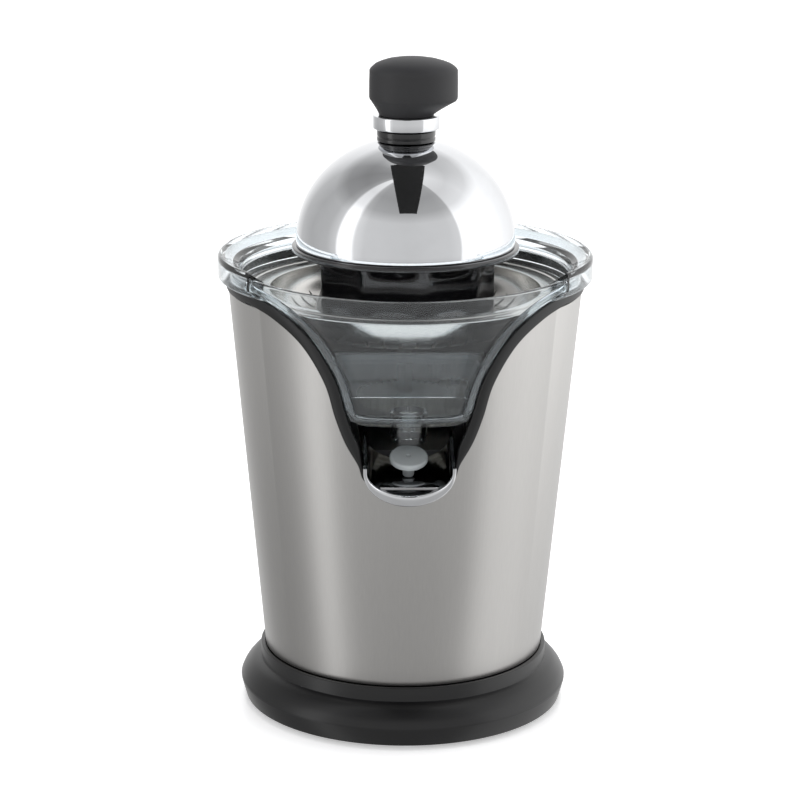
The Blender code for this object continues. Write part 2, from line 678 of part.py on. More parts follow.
def make_juice_bowl():
    """The clear bowl, with its overhanging rim, the window in the notch, the well behind it and the
    outlet."""
    wall = BOWL_WALL
    seat = BODY_TOP_RADIUS - TRIM_INNER_INSET - GAP - ROUND_SLACK
    lower = LEDGE_RADIUS + wall
    outline = [(RIM_RADIUS - RIM_LIP, RIM_BOTTOM), (RIM_RADIUS, RIM_BOTTOM), (RIM_RADIUS, RIM_TOP - 1.2),
               (RIM_RADIUS - 1.1, RIM_TOP), (RIM_RADIUS - 2.4, RIM_TOP), (RIM_INNER_RADIUS, RIM_INNER_Z),
               (BOWL_RADIUS, RIM_INNER_Z - 2.0), (BOWL_RADIUS, LEDGE_Z), (LEDGE_RADIUS, LEDGE_Z),
               (LEDGE_RADIUS - 0.6, BOWL_FLOOR + 7.0), (LEDGE_RADIUS - 4.0, BOWL_FLOOR + 2.0),
               (LEDGE_RADIUS - 10.0, BOWL_FLOOR), (TUBE_RADIUS, BOWL_FLOOR),
               (TUBE_RADIUS, BOWL_FLOOR + TUBE_HEIGHT),
               (TUBE_BORE, BOWL_FLOOR + TUBE_HEIGHT), (TUBE_BORE, BOWL_BOTTOM), (lower - 8.5, BOWL_BOTTOM),
               (lower - 1.8, BOWL_BOTTOM + 2.6), (lower, BOWL_BOTTOM + 8.0), (lower, LEDGE_Z - 2.6),
               (seat, LEDGE_Z + 0.4), (seat, RIM_BOTTOM), (seat + 3.0, RIM_BOTTOM),
               (seat + 3.0, RIM_TOP - 5.8), (RIM_RADIUS - RIM_LIP, RIM_TOP - 2.6)]
    bowl = turned(outline)
    bowl = cut(bowl, notch_tool(inset=RUN_GAP + 1.0, band=1.0, back=WELL_BACK_Y - 1.0))
    face = -WINDOW_INSET
    well = keep(cone_solid(face, WINDOW_BOTTOM - 5, WINDOW_TOP),
                notch_tool(inset=RUN_GAP, band=1.0, foot=WINDOW_BOTTOM, back=WELL_BACK_Y))
    hollow = keep(cone_solid(face - wall, WINDOW_BOTTOM, WINDOW_TOP + 5),
                  notch_tool(inset=RUN_GAP + wall, band=1.0, foot=WINDOW_BOTTOM + WELL_FLOOR,
                             back=WELL_BACK_Y - wall))
    inside = turned([(BOWL_RADIUS, WINDOW_TOP + 5), (BOWL_RADIUS, LEDGE_Z), (LEDGE_RADIUS, LEDGE_Z - 0.02),
                     (LEDGE_RADIUS - 0.6, BOWL_FLOOR + 7.0), (LEDGE_RADIUS - 4.0, BOWL_FLOOR + 2.0),
                     (LEDGE_RADIUS - 10.0, BOWL_FLOOR + 0.02), (0.0, BOWL_FLOOR + 0.02),
                     (0.0, WINDOW_TOP + 5)])
    well = cut(well, hollow, inside)
    well = join(well, rod(OUTLET_RADIUS, OUTLET_END, WINDOW_BOTTOM + 1.0, (0.0, OUTLET_Y)))
    well = cut(well, rod(OUTLET_BORE, OUTLET_END - 1, WINDOW_BOTTOM + WELL_FLOOR + 1, (0.0, OUTLET_Y)))
    return finish(join(bowl, well), "juice_bowl", "clear")


def strainer_wall(offset):
    """The dish's wall moved out by offset: a quarter of an ellipse from its step down to its floor."""
    width = STRAINER_STEP_RADIUS - STRAINER_FLOOR_RADIUS + offset
    height = STRAINER_DEPTH + offset
    line = []
    for index in range(STRAINER_WALL_STEPS + 1):
        angle = math.pi / 2 * index / STRAINER_WALL_STEPS
        line.append((STRAINER_FLOOR_RADIUS + width * math.cos(angle),
                     STRAINER_TOP - height * math.sin(angle)))
    return line


def make_strainer():
    """The steel strainer dish that rests on the bowl's ledge."""
    sheet = STRAINER_SHEET
    hole = TUBE_RADIUS + STRAINER_HOLE_GAP
    edge = BOWL_RADIUS - GAP - 0.3
    top = STRAINER_TOP
    inner = strainer_wall(0.0)
    outer = list(reversed(strainer_wall(sheet)))
    hub = [(hole, STRAINER_FLOOR), (hole, STRAINER_FLOOR - sheet)]
    outline = [(edge, top - sheet), (edge, top), *inner, *hub, *outer[:-1],
               (STRAINER_STEP_RADIUS + sheet, top - sheet)]
    dish = turned(outline, FINE)
    for index in range(STRAINER_SLOTS):
        slot = block((STRAINER_FLOOR_RADIUS - 2.0, -STRAINER_SLOT_WIDTH / 2, STRAINER_FLOOR - 4),
                     (STRAINER_STEP_RADIUS - 3.0, STRAINER_SLOT_WIDTH / 2, top - 4.0))
        slot.data.transform(Matrix.Rotation(2 * math.pi * (index + 0.5) / STRAINER_SLOTS, 4, "Z"))
        dish = cut(dish, slot)
    return finish(dish, "strainer", "brushed_steel")


def ribbed(levels, ribs, steps):
    """A ribbed solid from levels of (radius, z, flute depth), closed at its foot and at a tip on the
    axis."""
    mesh = bmesh.new()
    rings = []
    for radius, z, depth in levels[:-1]:
        ring = []
        for index in range(steps):
            angle = 2 * math.pi * index / steps
            flute = 0.5 - 0.5 * math.cos(ribs * angle)
            reach = radius - depth * flute
            ring.append(mesh.verts.new(Vector((reach * math.cos(angle), reach * math.sin(angle), z)) * MM))
        rings.append(ring)
    mesh.faces.new(list(reversed(rings[0])))
    for low, high in zip(rings, rings[1:]):
        for index in range(steps):
            nearby = (index + 1) % steps
            mesh.faces.new((low[index], low[nearby], high[nearby], high[index]))
    tip = mesh.verts.new(Vector((0.0, 0.0, levels[-1][1])) * MM)
    for index in range(steps):
        mesh.faces.new((rings[-1][index], rings[-1][(index + 1) % steps], tip))
    return object_from(mesh, "tool")


def make_reamer():
    """The black reamer: a fluted skirt with a shoulder that carries the press, and a ribbed cone."""
    flute = REAMER_SKIRT_FLUTE
    inner = REAMER_RADIUS - REAMER_SHOULDER
    levels = [(REAMER_RADIUS, REAMER_BOTTOM, 0.0), (REAMER_RADIUS, REAMER_BOTTOM + 8.0, 0.0),
              (REAMER_RADIUS, REAMER_BOTTOM + 12.0, flute), (REAMER_RADIUS, SHOULDER_Z - 4.0, flute),
              (REAMER_RADIUS, SHOULDER_Z - 2.0, 0.0), (REAMER_RADIUS, SHOULDER_Z, 0.0),
              (inner, SHOULDER_Z, 0.0),
              (inner - 4.0, SHOULDER_Z + 1.0, 0.5)]
    cone_base = inner - 9.0
    for share in (0.0, 0.22, 0.45, 0.68, 0.86, 0.96):
        radius = cone_base * math.sqrt(1.0 - share ** 1.5)
        depth = REAMER_RIB_DEPTH * math.sin(math.pi * (0.15 + 0.6 * share))
        levels.append((radius, SHOULDER_Z + 2.0 + REAMER_CONE_HEIGHT * share, min(depth, radius * 0.3)))
    levels.append((0.0, SHOULDER_Z + 2.0 + REAMER_CONE_HEIGHT, 0.0))
    cone = ribbed(levels, REAMER_RIBS, FINE)
    tube_top = BOWL_FLOOR + TUBE_HEIGHT
    cone = cut(cone, rod(TUBE_RADIUS + 3.0, REAMER_BOTTOM - 1, tube_top + 2.0, steps=24))
    hollow = turned([(REAMER_RADIUS - 4.0, REAMER_BOTTOM - 1), (REAMER_RADIUS - 4.0, SHOULDER_Z - 5.0),
                     (TUBE_RADIUS + 6.0, SHOULDER_Z - 5.0), (TUBE_RADIUS + 6.0, REAMER_BOTTOM - 1)], MEDIUM)
    cone = cut(cone, hollow)
    return finish(cut(cone, rod(SHAFT_RADIUS + GAP, tube_top, shaft_top() + 0.5, steps=6)), "reamer",
                  "black_gloss")


def shaft_top():
    return BOWL_FLOOR + TUBE_HEIGHT + 14.0


# Press

def dome_z(radius, offset):
    """Height of the dome's surface at a radius, for a dome shrunk by offset."""
    share = min(radius / (DOME_RADIUS - offset), 1.0)
    return DOME_BOTTOM + 2.5 + (DOME_HEIGHT - 2.5 - offset) * math.sqrt(1.0 - share * share)


def dome_profile(offset, hole, steps):
    """Points of a dome shrunk by offset, from its foot up to the hole at its top."""
    outer = DOME_RADIUS - offset
    last = math.acos(hole / outer)
    angles = [last * index / steps for index in range(steps + 1)]
    line = [(outer, DOME_BOTTOM)]
    line += [(outer * math.cos(angle), dome_z(outer * math.cos(angle), offset)) for angle in angles]
    return line


def shell_of(offset, wall, hole, steps, facets):
    outer = dome_profile(offset, hole, steps)
    inner = dome_profile(offset + wall, hole, steps)
    return turned(outer + list(reversed(inner)), facets)


def make_press():
    """The loose press: chrome dome, black flange, inner cup, neck ring, chrome collar, knob and screw."""
    hole = PRESS_SCREW_RADIUS + GAP
    finish(shell_of(0.0, DOME_SHEET, hole, 6, FINE), "press_dome", "chrome")
    cup_offset = DOME_SHEET + CUP_GAP
    finish(shell_of(cup_offset, CUP_WALL, hole, 4, MEDIUM), "press_cup", "black_satin")
    inner = REAMER_RADIUS - REAMER_SHOULDER + 0.5
    finish(turned([(DOME_RADIUS + FLANGE_PROUD, PRESS_BOTTOM),
                   (DOME_RADIUS + FLANGE_PROUD, FLANGE_TOP - 0.8),
                   (DOME_RADIUS + FLANGE_PROUD - 0.8, FLANGE_TOP), (inner, FLANGE_TOP),
                   (inner, PRESS_BOTTOM)], FINE),
           "press_flange", "black_gloss")
    seat = [(radius, dome_z(radius, 0.0) + GAP + 0.1) for radius in (hole, NECK_RADIUS * 0.4,
                                                                     NECK_RADIUS * 0.7,
                                                                     NECK_RADIUS)]
    finish(turned(seat + [(NECK_RADIUS, NECK_TOP - GAP), (hole, NECK_TOP - GAP)], MEDIUM),
           "press_neck_ring", "black_gloss")
    finish(turned([(COLLAR_RADIUS, NECK_TOP), (COLLAR_RADIUS, COLLAR_TOP), (hole, COLLAR_TOP),
                   (hole, NECK_TOP)],
                  MEDIUM), "press_collar", "chrome")
    make_press_knob(hole)
    cup_top = dome_z(PRESS_SCREW_HEAD, cup_offset + CUP_WALL) - 0.5
    screw = screw_solid(PRESS_SCREW_RADIUS, PRESS_SCREW_HEAD, 2.6, KNOB_BOTTOM + KNOB_HEIGHT * 0.5 - cup_top)
    finish(screw, "press_screw", "zinc", (0.0, 0.0, cup_top - GAP))


def make_press_knob(hole):
    """The soft grey knob: a round neck that flares into a long head, which leans out to one side."""
    head_foot = 0.27
    head_top = 0.74
    shares = (0.0, 0.08, 0.18, head_foot, 0.40, 0.60, head_top, 0.88, 0.96)
    mesh = bmesh.new()
    rings = []
    for share in shares:
        flare = min(share / head_foot, 1.0)
        flare = flare * flare * (3 - 2 * flare)
        crown = max(share - head_top, 0.0) / (1.0 - head_top)
        shrink = math.sqrt(1.0 - crown * crown * 0.99)
        along = (KNOB_NECK_RADIUS + (KNOB_HALF_LENGTH - KNOB_NECK_RADIUS) * flare) * shrink
        across = (KNOB_NECK_RADIUS + (KNOB_HALF_WIDTH - KNOB_NECK_RADIUS) * flare) * shrink
        middle = KNOB_OFFSET * flare
        z = KNOB_BOTTOM + KNOB_HEIGHT * share
        rings.append([mesh.verts.new(Vector((middle + along * math.cos(angle), across * math.sin(angle),
                                             z)) * MM)
                      for angle in (2 * math.pi * index / MEDIUM for index in range(MEDIUM))])
    mesh.faces.new(list(reversed(rings[0])))
    for low, high in zip(rings, rings[1:]):
        for index in range(MEDIUM):
            nearby = (index + 1) % MEDIUM
            mesh.faces.new((low[index], low[nearby], high[nearby], high[index]))
    tip = mesh.verts.new(Vector((KNOB_OFFSET, 0.0, KNOB_BOTTOM + KNOB_HEIGHT)) * MM)
    for index in range(MEDIUM):
        mesh.faces.new((rings[-1][index], rings[-1][(index + 1) % MEDIUM], tip))
    knob = object_from(mesh, "tool")
    knob = cut(knob, rod(hole, KNOB_BOTTOM - 1, KNOB_BOTTOM + KNOB_HEIGHT * 0.5 + 2.0, steps=12))
    return finish(knob, "press_knob", "soft_grey")


# Spout

def spout_section(offset, top, sag=0.0):
    """The trough's U as (x, z) above its hinge, shrunk by offset and sagging further, with straight sides
    up to top."""
    half = SPOUT_HALF_WIDTH - offset
    depth = SPOUT_U_DEPTH - offset + sag
    middle = BARREL_RADIUS - 0.6 + SPOUT_U_DEPTH
    curve = [(half * math.cos(angle), middle + depth * math.sin(angle))
             for angle in (-math.pi * index / 12 for index in range(13))]
    return [(half, top)] + curve + [(-half, top)]


def make_spout():
    """The tilting spout: a trough on a hinge pin, with the plug that closes the outlet when it is tilted up.

    The trough and the plug are made open, in the hinge's frame, and the plug is turned from its level
    closed place.
    """
    side_top = BARREL_RADIUS - 0.6 + SPOUT_U_DEPTH + 2.5
    trough = extruded(spout_section(0.0, side_top), -SPOUT_REACH, SPOUT_BACK, axis="Y")
    trough = join(trough, extruded(spout_section(-SPOUT_LIP_PROUD, side_top, SPOUT_LIP), -SPOUT_REACH,
                                   SPOUT_LIP_LENGTH - SPOUT_REACH, axis="Y"))
    trough = cut(trough, extruded(spout_section(SPOUT_WALL, side_top + 5), -SPOUT_REACH - 5,
                                  SPOUT_BACK - SPOUT_WALL,
                                  axis="Y"))
    slope = Matrix.Rotation(math.radians(SPOUT_FLOOR_SLOPE), 4, "X")
    trough.data.transform(slope)
    trough = join(trough, cross_rod(BARREL_RADIUS, -NICHE_HALF_WIDTH + RUN_GAP, NICHE_HALF_WIDTH - RUN_GAP,
                                    0.0, 0.0,
                                    16))
    trough = cut(trough, cross_rod(PIN_RADIUS + GAP, -NICHE_HALF_WIDTH, NICHE_HALF_WIDTH, 0.0, 0.0, 12))
    hinge = (0.0, SPOUT_HINGE_Y, HINGE_Z)
    finish(trough, "spout_trough", "chrome", hinge)
    pin_half = NICHE_HALF_WIDTH + NICHE_WALL - 0.2
    finish(cross_rod(PIN_RADIUS, -pin_half, pin_half, 0.0, 0.0, 12), "spout_pin", "zinc", hinge)
    opened = Matrix.Rotation(math.radians(SPOUT_OPEN_ANGLE), 4, "X")
    reach = OUTLET_Y - SPOUT_HINGE_Y
    face = OUTLET_END - GAP - HINGE_Z
    floor = BARREL_RADIUS - 0.6 + SPOUT_WALL
    plug = rod(PLUG_RADIUS, face - PLUG_THICKNESS, face, (0.0, reach), 24)
    plug = join(plug, rod(PLUG_STEM_RADIUS, floor - 12.0, face - 1.0, (0.0, reach), 12))
    plug.data.transform(opened)
    below = block((-10, -60, -30), (10, 30, floor + GAP))
    below.data.transform(slope)
    finish(cut(plug, below), "spout_plug", "silicone", hinge)


# Drive

def gear_outline(module, teeth, turn=0.0):
    """A gear's outline with four points a tooth, thin enough to leave backlash."""
    pitch = module * teeth / 2
    tip = pitch + module * 0.9
    root = pitch - module * 1.15
    tooth = 2 * math.pi / teeth
    outline = []
    for index in range(teeth):
        for radius, share in ((root, -0.33), (tip, -0.12), (tip, 0.12), (root, 0.33)):
            angle = turn + tooth * (index + share)
            outline.append((radius * math.cos(angle), radius * math.sin(angle)))
    return outline


def gear(module, teeth, low, high, turn=0.0):
    return extruded(gear_outline(module, teeth, turn), low, high)


def mesh_turn(teeth, towards, half_tooth):
    """The turn that puts a tooth, or half a tooth further a gap, in the direction towards."""
    return towards + (math.pi / teeth if half_tooth else 0.0)


def make_gears():
    """Motor pinion, layshaft gear and output gear, phased so that their teeth mesh."""
    to_motor = math.atan2(MOTOR_Y - LAY_Y, MOTOR_X - LAY_X)
    to_output = math.atan2(-LAY_Y, -LAY_X)
    motor_turn = mesh_turn(MOTOR_TEETH, to_motor + math.pi, False)
    lay_turn = mesh_turn(LAY_TEETH, to_motor, True)
    pinion_turn = mesh_turn(LAY_PINION_TEETH, to_output, False)
    output_turn = mesh_turn(OUTPUT_TEETH, to_output + math.pi, True)
    low = STAGE_ONE_Z
    pinion = gear(MODULE_ONE, MOTOR_TEETH, low - 0.5, low + GEAR_WIDTH + 0.5, motor_turn)
    pinion = cut(pinion, rod(MOTOR_SHAFT_RADIUS + GAP, low - 5, low + GEAR_WIDTH + 5, steps=16))
    finish(pinion, "motor_pinion", "zinc", (MOTOR_X, MOTOR_Y, 0.0))
    lay = gear(MODULE_ONE, LAY_TEETH, low, low + GEAR_WIDTH, lay_turn)
    lay = join(lay, gear(MODULE_TWO, LAY_PINION_TEETH, low + GEAR_WIDTH - 1.0,
                         STAGE_TWO_Z + GEAR_WIDTH + 2.5,
                         pinion_turn))
    lay = cut(lay, rod(LAY_PIN_RADIUS + GAP, low - 5, STAGE_TWO_Z + GEAR_WIDTH + 5, steps=16))
    finish(lay, "layshaft_gear", "nylon", (LAY_X, LAY_Y, 0.0))
    output = gear(MODULE_TWO, OUTPUT_TEETH, STAGE_TWO_Z, STAGE_TWO_Z + GEAR_WIDTH + 2.0, output_turn)
    output = join(output, rod(SHAFT_RADIUS + 2.0, STAGE_ONE_Z + 0.5, STAGE_TWO_Z + 1.0, steps=18))
    output = cut(output, rod(SHAFT_RADIUS + GAP, STAGE_ONE_Z - 5, STAGE_TWO_Z + GEAR_WIDTH + 5, steps=6))
    finish(output, "output_gear", "nylon")


def make_gear_plate():
    """The plate under the deck that carries the layshaft, the output bush and the motor."""
    plate = rod(GEAR_PLATE_RADIUS, GEAR_PLATE_BOTTOM, GEAR_PLATE_TOP, steps=FINE)
    plate = cut(plate, block((-90, -90, GEAR_PLATE_BOTTOM - 1),
                             (90, WELL_BACK_Y + RUN_GAP + NICHE_WALL + 1.0,
                                                                GEAR_PLATE_TOP + 1)))
    low, high = GEAR_PLATE_BOTTOM - 1, GEAR_PLATE_TOP + 1
    plate = cut(plate, rod(SHAFT_RADIUS + BUSH_WALL + 2 * GAP, low, high))
    plate = cut(plate, rod(MOTOR_SHAFT_RADIUS + 1.5, low, high, (MOTOR_X, MOTOR_Y)))
    plate = cut(plate, rod(LAY_PIN_RADIUS + GAP, low, high, (LAY_X, LAY_Y), 16))
    for place in POST_PLACES:
        plate = cut(plate, rod(PLATE_SCREW_RADIUS + GAP, low, high, place, 8))
    for side in (-1, 1):
        plate = cut(plate, rod(PLATE_SCREW_RADIUS + GAP, low, high, motor_screw_place(side), 8))
    finish(plate, "gear_plate", "zinc")
    screw = screw_solid(PLATE_SCREW_RADIUS, PLATE_SCREW_HEAD, 2.0, 13.0)
    first = finish(screw, "plate_screw_1", "zinc", (*POST_PLACES[0], GEAR_PLATE_BOTTOM - GAP))
    for index, place in enumerate(POST_PLACES[1:]):
        copy_of(first, f"plate_screw_{index + 2}", (*place, GEAR_PLATE_BOTTOM - GAP))


def motor_screw_place(side):
    return MOTOR_X + side * 22.0, MOTOR_Y


def make_drive_shaft():
    """Layshaft pin, bush, seal, six-sided drive shaft, its return spring and the switch that it closes."""
    finish(rod(LAY_PIN_RADIUS, GEAR_PLATE_BOTTOM + 0.5, STAGE_TWO_Z + GEAR_WIDTH + 5.0, steps=16),
           "layshaft_pin",
           "zinc", (LAY_X, LAY_Y, 0.0))
    bush_inner = SHAFT_RADIUS + GAP
    finish(turned([(bush_inner + BUSH_WALL, GEAR_PLATE_BOTTOM), (bush_inner + BUSH_WALL, GEAR_PLATE_TOP),
                   (bush_inner, GEAR_PLATE_TOP), (bush_inner, GEAR_PLATE_BOTTOM)], SMALL), "output_bush",
           "bronze")
    seal_low = DECK_BOTTOM + 0.5
    finish(turned([(SEAL_RADIUS, seal_low), (SEAL_RADIUS, DECK_TOP), (TUBE_BORE - 0.6, DECK_TOP),
                   (SHAFT_RADIUS + GAP, seal_low + SEAL_HEIGHT), (SHAFT_RADIUS + GAP, seal_low)], 24),
           "shaft_seal", "rubber")
    flange_top = STAGE_ONE_Z + 0.5 - GAP
    shaft = rod(SHAFT_RADIUS, GEAR_PLATE_BOTTOM, shaft_top(), steps=6)
    shaft = join(shaft, rod(SHAFT_FLANGE, flange_top - 1.0, flange_top, steps=SMALL))
    finish(shaft, "drive_shaft", "brushed_steel")
    make_return_spring(GEAR_PLATE_TOP + GAP, flange_top - 1.0 - GAP)
    top = GEAR_PLATE_BOTTOM - GAP
    face = top - SWITCH_BUTTON_HEIGHT
    switch = block((-10, -8, face - 12), (10, 2, face))
    switch = cut(switch, rod(SWITCH_BUTTON_RADIUS + GAP, face - SHAFT_TRAVEL - 1.0, face + 1, steps=12))
    finish(switch, "micro_switch", "black_satin")
    finish(rod(SWITCH_BUTTON_RADIUS, face + GAP, top, steps=12), "switch_button", "nylon")


def make_return_spring(low, high):
    """A short coil spring around the drive shaft, between the gear plate and the shaft's flange."""
    turns = 2.5
    wire = 0.45
    coil = SHAFT_RADIUS + 1.5
    steps = 10
    sides = 4
    rise = high - low - 2 * wire
    mesh = bmesh.new()
    rings = []
    for index in range(int(turns * steps) + 1):
        angle = 2 * math.pi * index / steps
        z = low + wire + rise * index / (turns * steps)
        out = Vector((math.cos(angle), math.sin(angle), 0.0))
        ring = []
        for side in range(sides):
            around = 2 * math.pi * side / sides
            point = out * (coil + wire * math.cos(around)) + Vector((0, 0, z + wire * math.sin(around)))
            ring.append(mesh.verts.new(point * MM))
        rings.append(ring)
    for here, there in zip(rings, rings[1:]):
        for side in range(sides):
            nearby = (side + 1) % sides
            mesh.faces.new((here[side], here[nearby], there[nearby], there[side]))
    mesh.faces.new(rings[0])
    mesh.faces.new(list(reversed(rings[-1])))
    return finish(object_from(mesh, "tool"), "return_spring", "zinc")


# Motor

def make_stator():
    """The stack of laminations with its bore and slots, and its two field coils."""
    half_length = STATOR_LENGTH / 2
    half_width = STATOR_WIDTH / 2
    stator = block((-half_length, -half_width, STATOR_BOTTOM), (half_length, half_width, STATOR_TOP))
    stator = cut(stator, rod(BORE_RADIUS, STATOR_BOTTOM - 1, STATOR_TOP + 1, steps=32))
    inner = BORE_RADIUS + 1.2
    for side_x in (-1, 1):
        for side_y in (-1, 1):
            xs = sorted((side_x * (inner - GAP), side_x * (inner + COIL_BAND + GAP)))
            ys = sorted((side_y * (COIL_INSET - GAP), side_y * (COIL_INSET + COIL_DEPTH + GAP)))
            stator = cut(stator, block((xs[0], ys[0], STATOR_BOTTOM - 1), (xs[1], ys[1], STATOR_TOP + 1)))
    finish(stator, "motor_stator", "laminations", (MOTOR_X, MOTOR_Y, 0.0))
    for side, name in ((-1, "field_coil_1"), (1, "field_coil_2")):
        ys = sorted((side * COIL_INSET, side * (COIL_INSET + COIL_DEPTH)))
        outer = inner + COIL_BAND
        coil = block((-outer, ys[0], STATOR_BOTTOM - COIL_BAND), (outer, ys[1], STATOR_TOP + COIL_BAND))
        coil = cut(coil, block((-inner, ys[0] - 1, STATOR_BOTTOM - GAP),
                               (inner, ys[1] + 1, STATOR_TOP + GAP)))
        finish(coil, name, "copper", (MOTOR_X, MOTOR_Y, 0.0))


def make_bracket(name, flat_low, flat_high, leg_low, leg_high):
    """A motor bracket: a flat bar with a bearing hole and a leg at each end."""
    half = STATOR_LENGTH / 2
    bar = block((-half, -BRACKET_WIDTH / 2, flat_low), (half, BRACKET_WIDTH / 2, flat_high))
    for side in (-1, 1):
        xs = sorted((side * half, side * (half - 4.0)))
        bar = join(bar, block((xs[0], -BRACKET_WIDTH / 2 + 0.5, leg_low),
                              (xs[1], BRACKET_WIDTH / 2 - 0.5, leg_high)))
    bar = cut(bar, rod(BEARING_RADIUS + GAP, flat_low - 1, flat_high + 1))
    if leg_low < flat_low:
        for side in (-1, 1):
            bar = cut(bar, rod(PLATE_SCREW_RADIUS + GAP, flat_low - 1, flat_high + 1, (side * 22.0, 0.0), 8))
    return finish(bar, name, "zinc", (MOTOR_X, MOTOR_Y, 0.0))


def make_motor():
    """The universal motor that hangs under the gear plate, with its rotor parts, brushes, bearings and
    fan."""
    make_stator()
    thick = BRACKET_THICKNESS
    make_bracket("motor_top_bracket", MOTOR_TOP - thick, MOTOR_TOP, STATOR_TOP + GAP,
                 MOTOR_TOP - thick + 0.5)
    make_bracket("motor_lower_bracket", MOTOR_BOTTOM, MOTOR_BOTTOM + thick, MOTOR_BOTTOM + thick - 0.5,
                 STATOR_BOTTOM - GAP)
    place = (MOTOR_X, MOTOR_Y, 0.0)
    bore = MOTOR_SHAFT_RADIUS + GAP
    for name, low in (("upper_bearing", MOTOR_TOP - thick), ("lower_bearing", MOTOR_BOTTOM)):
        finish(turned([(BEARING_RADIUS, low), (BEARING_RADIUS, low + thick), (bore, low + thick),
                       (bore, low)], SMALL),
               name, "bronze", place)
    armature = BORE_RADIUS - AIR_GAP
    finish(turned([(armature, STATOR_BOTTOM + 1), (armature, STATOR_TOP - 1), (bore, STATOR_TOP - 1),
                   (bore, STATOR_BOTTOM + 1)], 24), "armature", "laminations", place)
    top = STATOR_BOTTOM + 1 - GAP
    finish(turned([(COMMUTATOR_RADIUS, top - COMMUTATOR_HEIGHT), (COMMUTATOR_RADIUS, top), (bore, top),
                   (bore, top - COMMUTATOR_HEIGHT)], 24), "commutator", "copper", place)
    fan_top = MOTOR_BOTTOM - 2.0
    finish(rod(MOTOR_SHAFT_RADIUS, fan_top - FAN_HEIGHT - 1.0, STAGE_ONE_Z + GEAR_WIDTH + 1.0, steps=16),
           "motor_shaft", "zinc", place)
    for side, name in ((-1, "brush_1"), (1, "brush_2")):
        xs = sorted((side * (COMMUTATOR_RADIUS + GAP), side * (COMMUTATOR_RADIUS + GAP + BRUSH_LENGTH)))
        finish(block((xs[0], -2.5, top - 8.0), (xs[1], 2.5, top - 2.5)), name, "carbon", place)
    make_fan(fan_top - FAN_HEIGHT, fan_top, bore, place)
    screw = screw_solid(PLATE_SCREW_RADIUS, PLATE_SCREW_HEAD, 2.0, 6.0)
    screw.data.transform(Matrix.Rotation(math.pi, 4, "X"))
    first = finish(screw, "motor_screw_1", "zinc", (*motor_screw_place(-1), GEAR_PLATE_TOP + GAP))
    copy_of(first, "motor_screw_2", (*motor_screw_place(1), GEAR_PLATE_TOP + GAP))


def make_fan(low, high, bore, place):
    """The cooling fan: a hub on a disc, with straight blades."""
    fan = turned([(FAN_RADIUS, high - 1.5), (FAN_RADIUS, high), (bore, high), (bore, low), (bore + 3.0, low),
                  (bore + 3.0, high - 1.5)], MEDIUM)
    for index in range(FAN_BLADES):
        blade = block((bore + 1.5, -0.7, low + 1.0), (FAN_RADIUS - 0.5, 0.7, high - 1.0))
        blade.data.transform(Matrix.Rotation(2 * math.pi * (index + 0.37) / FAN_BLADES, 4, "Z"))
        fan = join(fan, blade)
    return finish(fan, "cooling_fan", "nylon", place)


def main():
    for thing in list(bpy.data.objects):
        bpy.data.objects.remove(thing)
    make_feet()
    make_base_screws()
    make_base_plate()
    make_base_skirt()
    make_cord_gland()
    make_steel_shell()
    make_trim_frame()
    make_inner_housing()
    make_gear_plate()
    make_gears()
    make_drive_shaft()
    make_motor()
    make_juice_bowl()
    make_strainer()
    make_reamer()
    make_press()
    make_spout()


main()
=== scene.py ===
"""Looks of an electric citrus press juicer: fine shells, clear bowl, chrome press and their finishes.

Sizes in the dataclasses are in millimetres. Meshes are made in metres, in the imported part's own frame.
"""

import json
import logging
import math
from dataclasses import dataclass
from enum import Enum
from typing import Callable, Iterable, Optional, Sequence

import bmesh
import bpy
from mathutils import Matrix, Vector


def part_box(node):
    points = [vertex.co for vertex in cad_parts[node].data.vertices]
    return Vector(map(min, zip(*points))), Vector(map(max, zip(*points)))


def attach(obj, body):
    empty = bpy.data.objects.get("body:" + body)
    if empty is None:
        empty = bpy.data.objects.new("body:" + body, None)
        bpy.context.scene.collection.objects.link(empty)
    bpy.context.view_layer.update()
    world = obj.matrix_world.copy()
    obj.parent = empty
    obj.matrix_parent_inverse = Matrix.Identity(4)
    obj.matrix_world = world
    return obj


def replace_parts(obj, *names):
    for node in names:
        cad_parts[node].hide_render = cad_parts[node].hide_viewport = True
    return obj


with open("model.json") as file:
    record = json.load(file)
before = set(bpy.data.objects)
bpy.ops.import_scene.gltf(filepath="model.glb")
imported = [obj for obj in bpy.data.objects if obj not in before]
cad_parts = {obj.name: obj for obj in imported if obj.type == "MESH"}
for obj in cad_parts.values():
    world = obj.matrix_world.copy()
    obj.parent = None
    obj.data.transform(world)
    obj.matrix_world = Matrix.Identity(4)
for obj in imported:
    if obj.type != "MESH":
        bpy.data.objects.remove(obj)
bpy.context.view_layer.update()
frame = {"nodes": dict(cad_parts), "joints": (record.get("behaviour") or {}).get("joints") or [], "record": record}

MM = 0.001
log = logging.getLogger("juicer")

Point = tuple[float, float]
Value = float | bpy.types.NodeSocket


# Finishes

class Surface(Enum):
    """What kind of fine detail a finish carries."""

    MOULDED = "moulded"
    BRUSHED = "brushed"
    POLISHED = "polished"
    CLEAR = "clear"
    RAW = "raw"


@dataclass(frozen=True)
class Finish:
    """A finish: its record slot, colour and gloss, and the detail on its surface."""

    slot: str
    surface: Surface
    colour: tuple[float, float, float]
    roughness: float
    metallic: float = 0.0
    coat: float = 0.0
    grain: float = 0.5
    grain_size: float = 900.0
    variation: float = 0.06


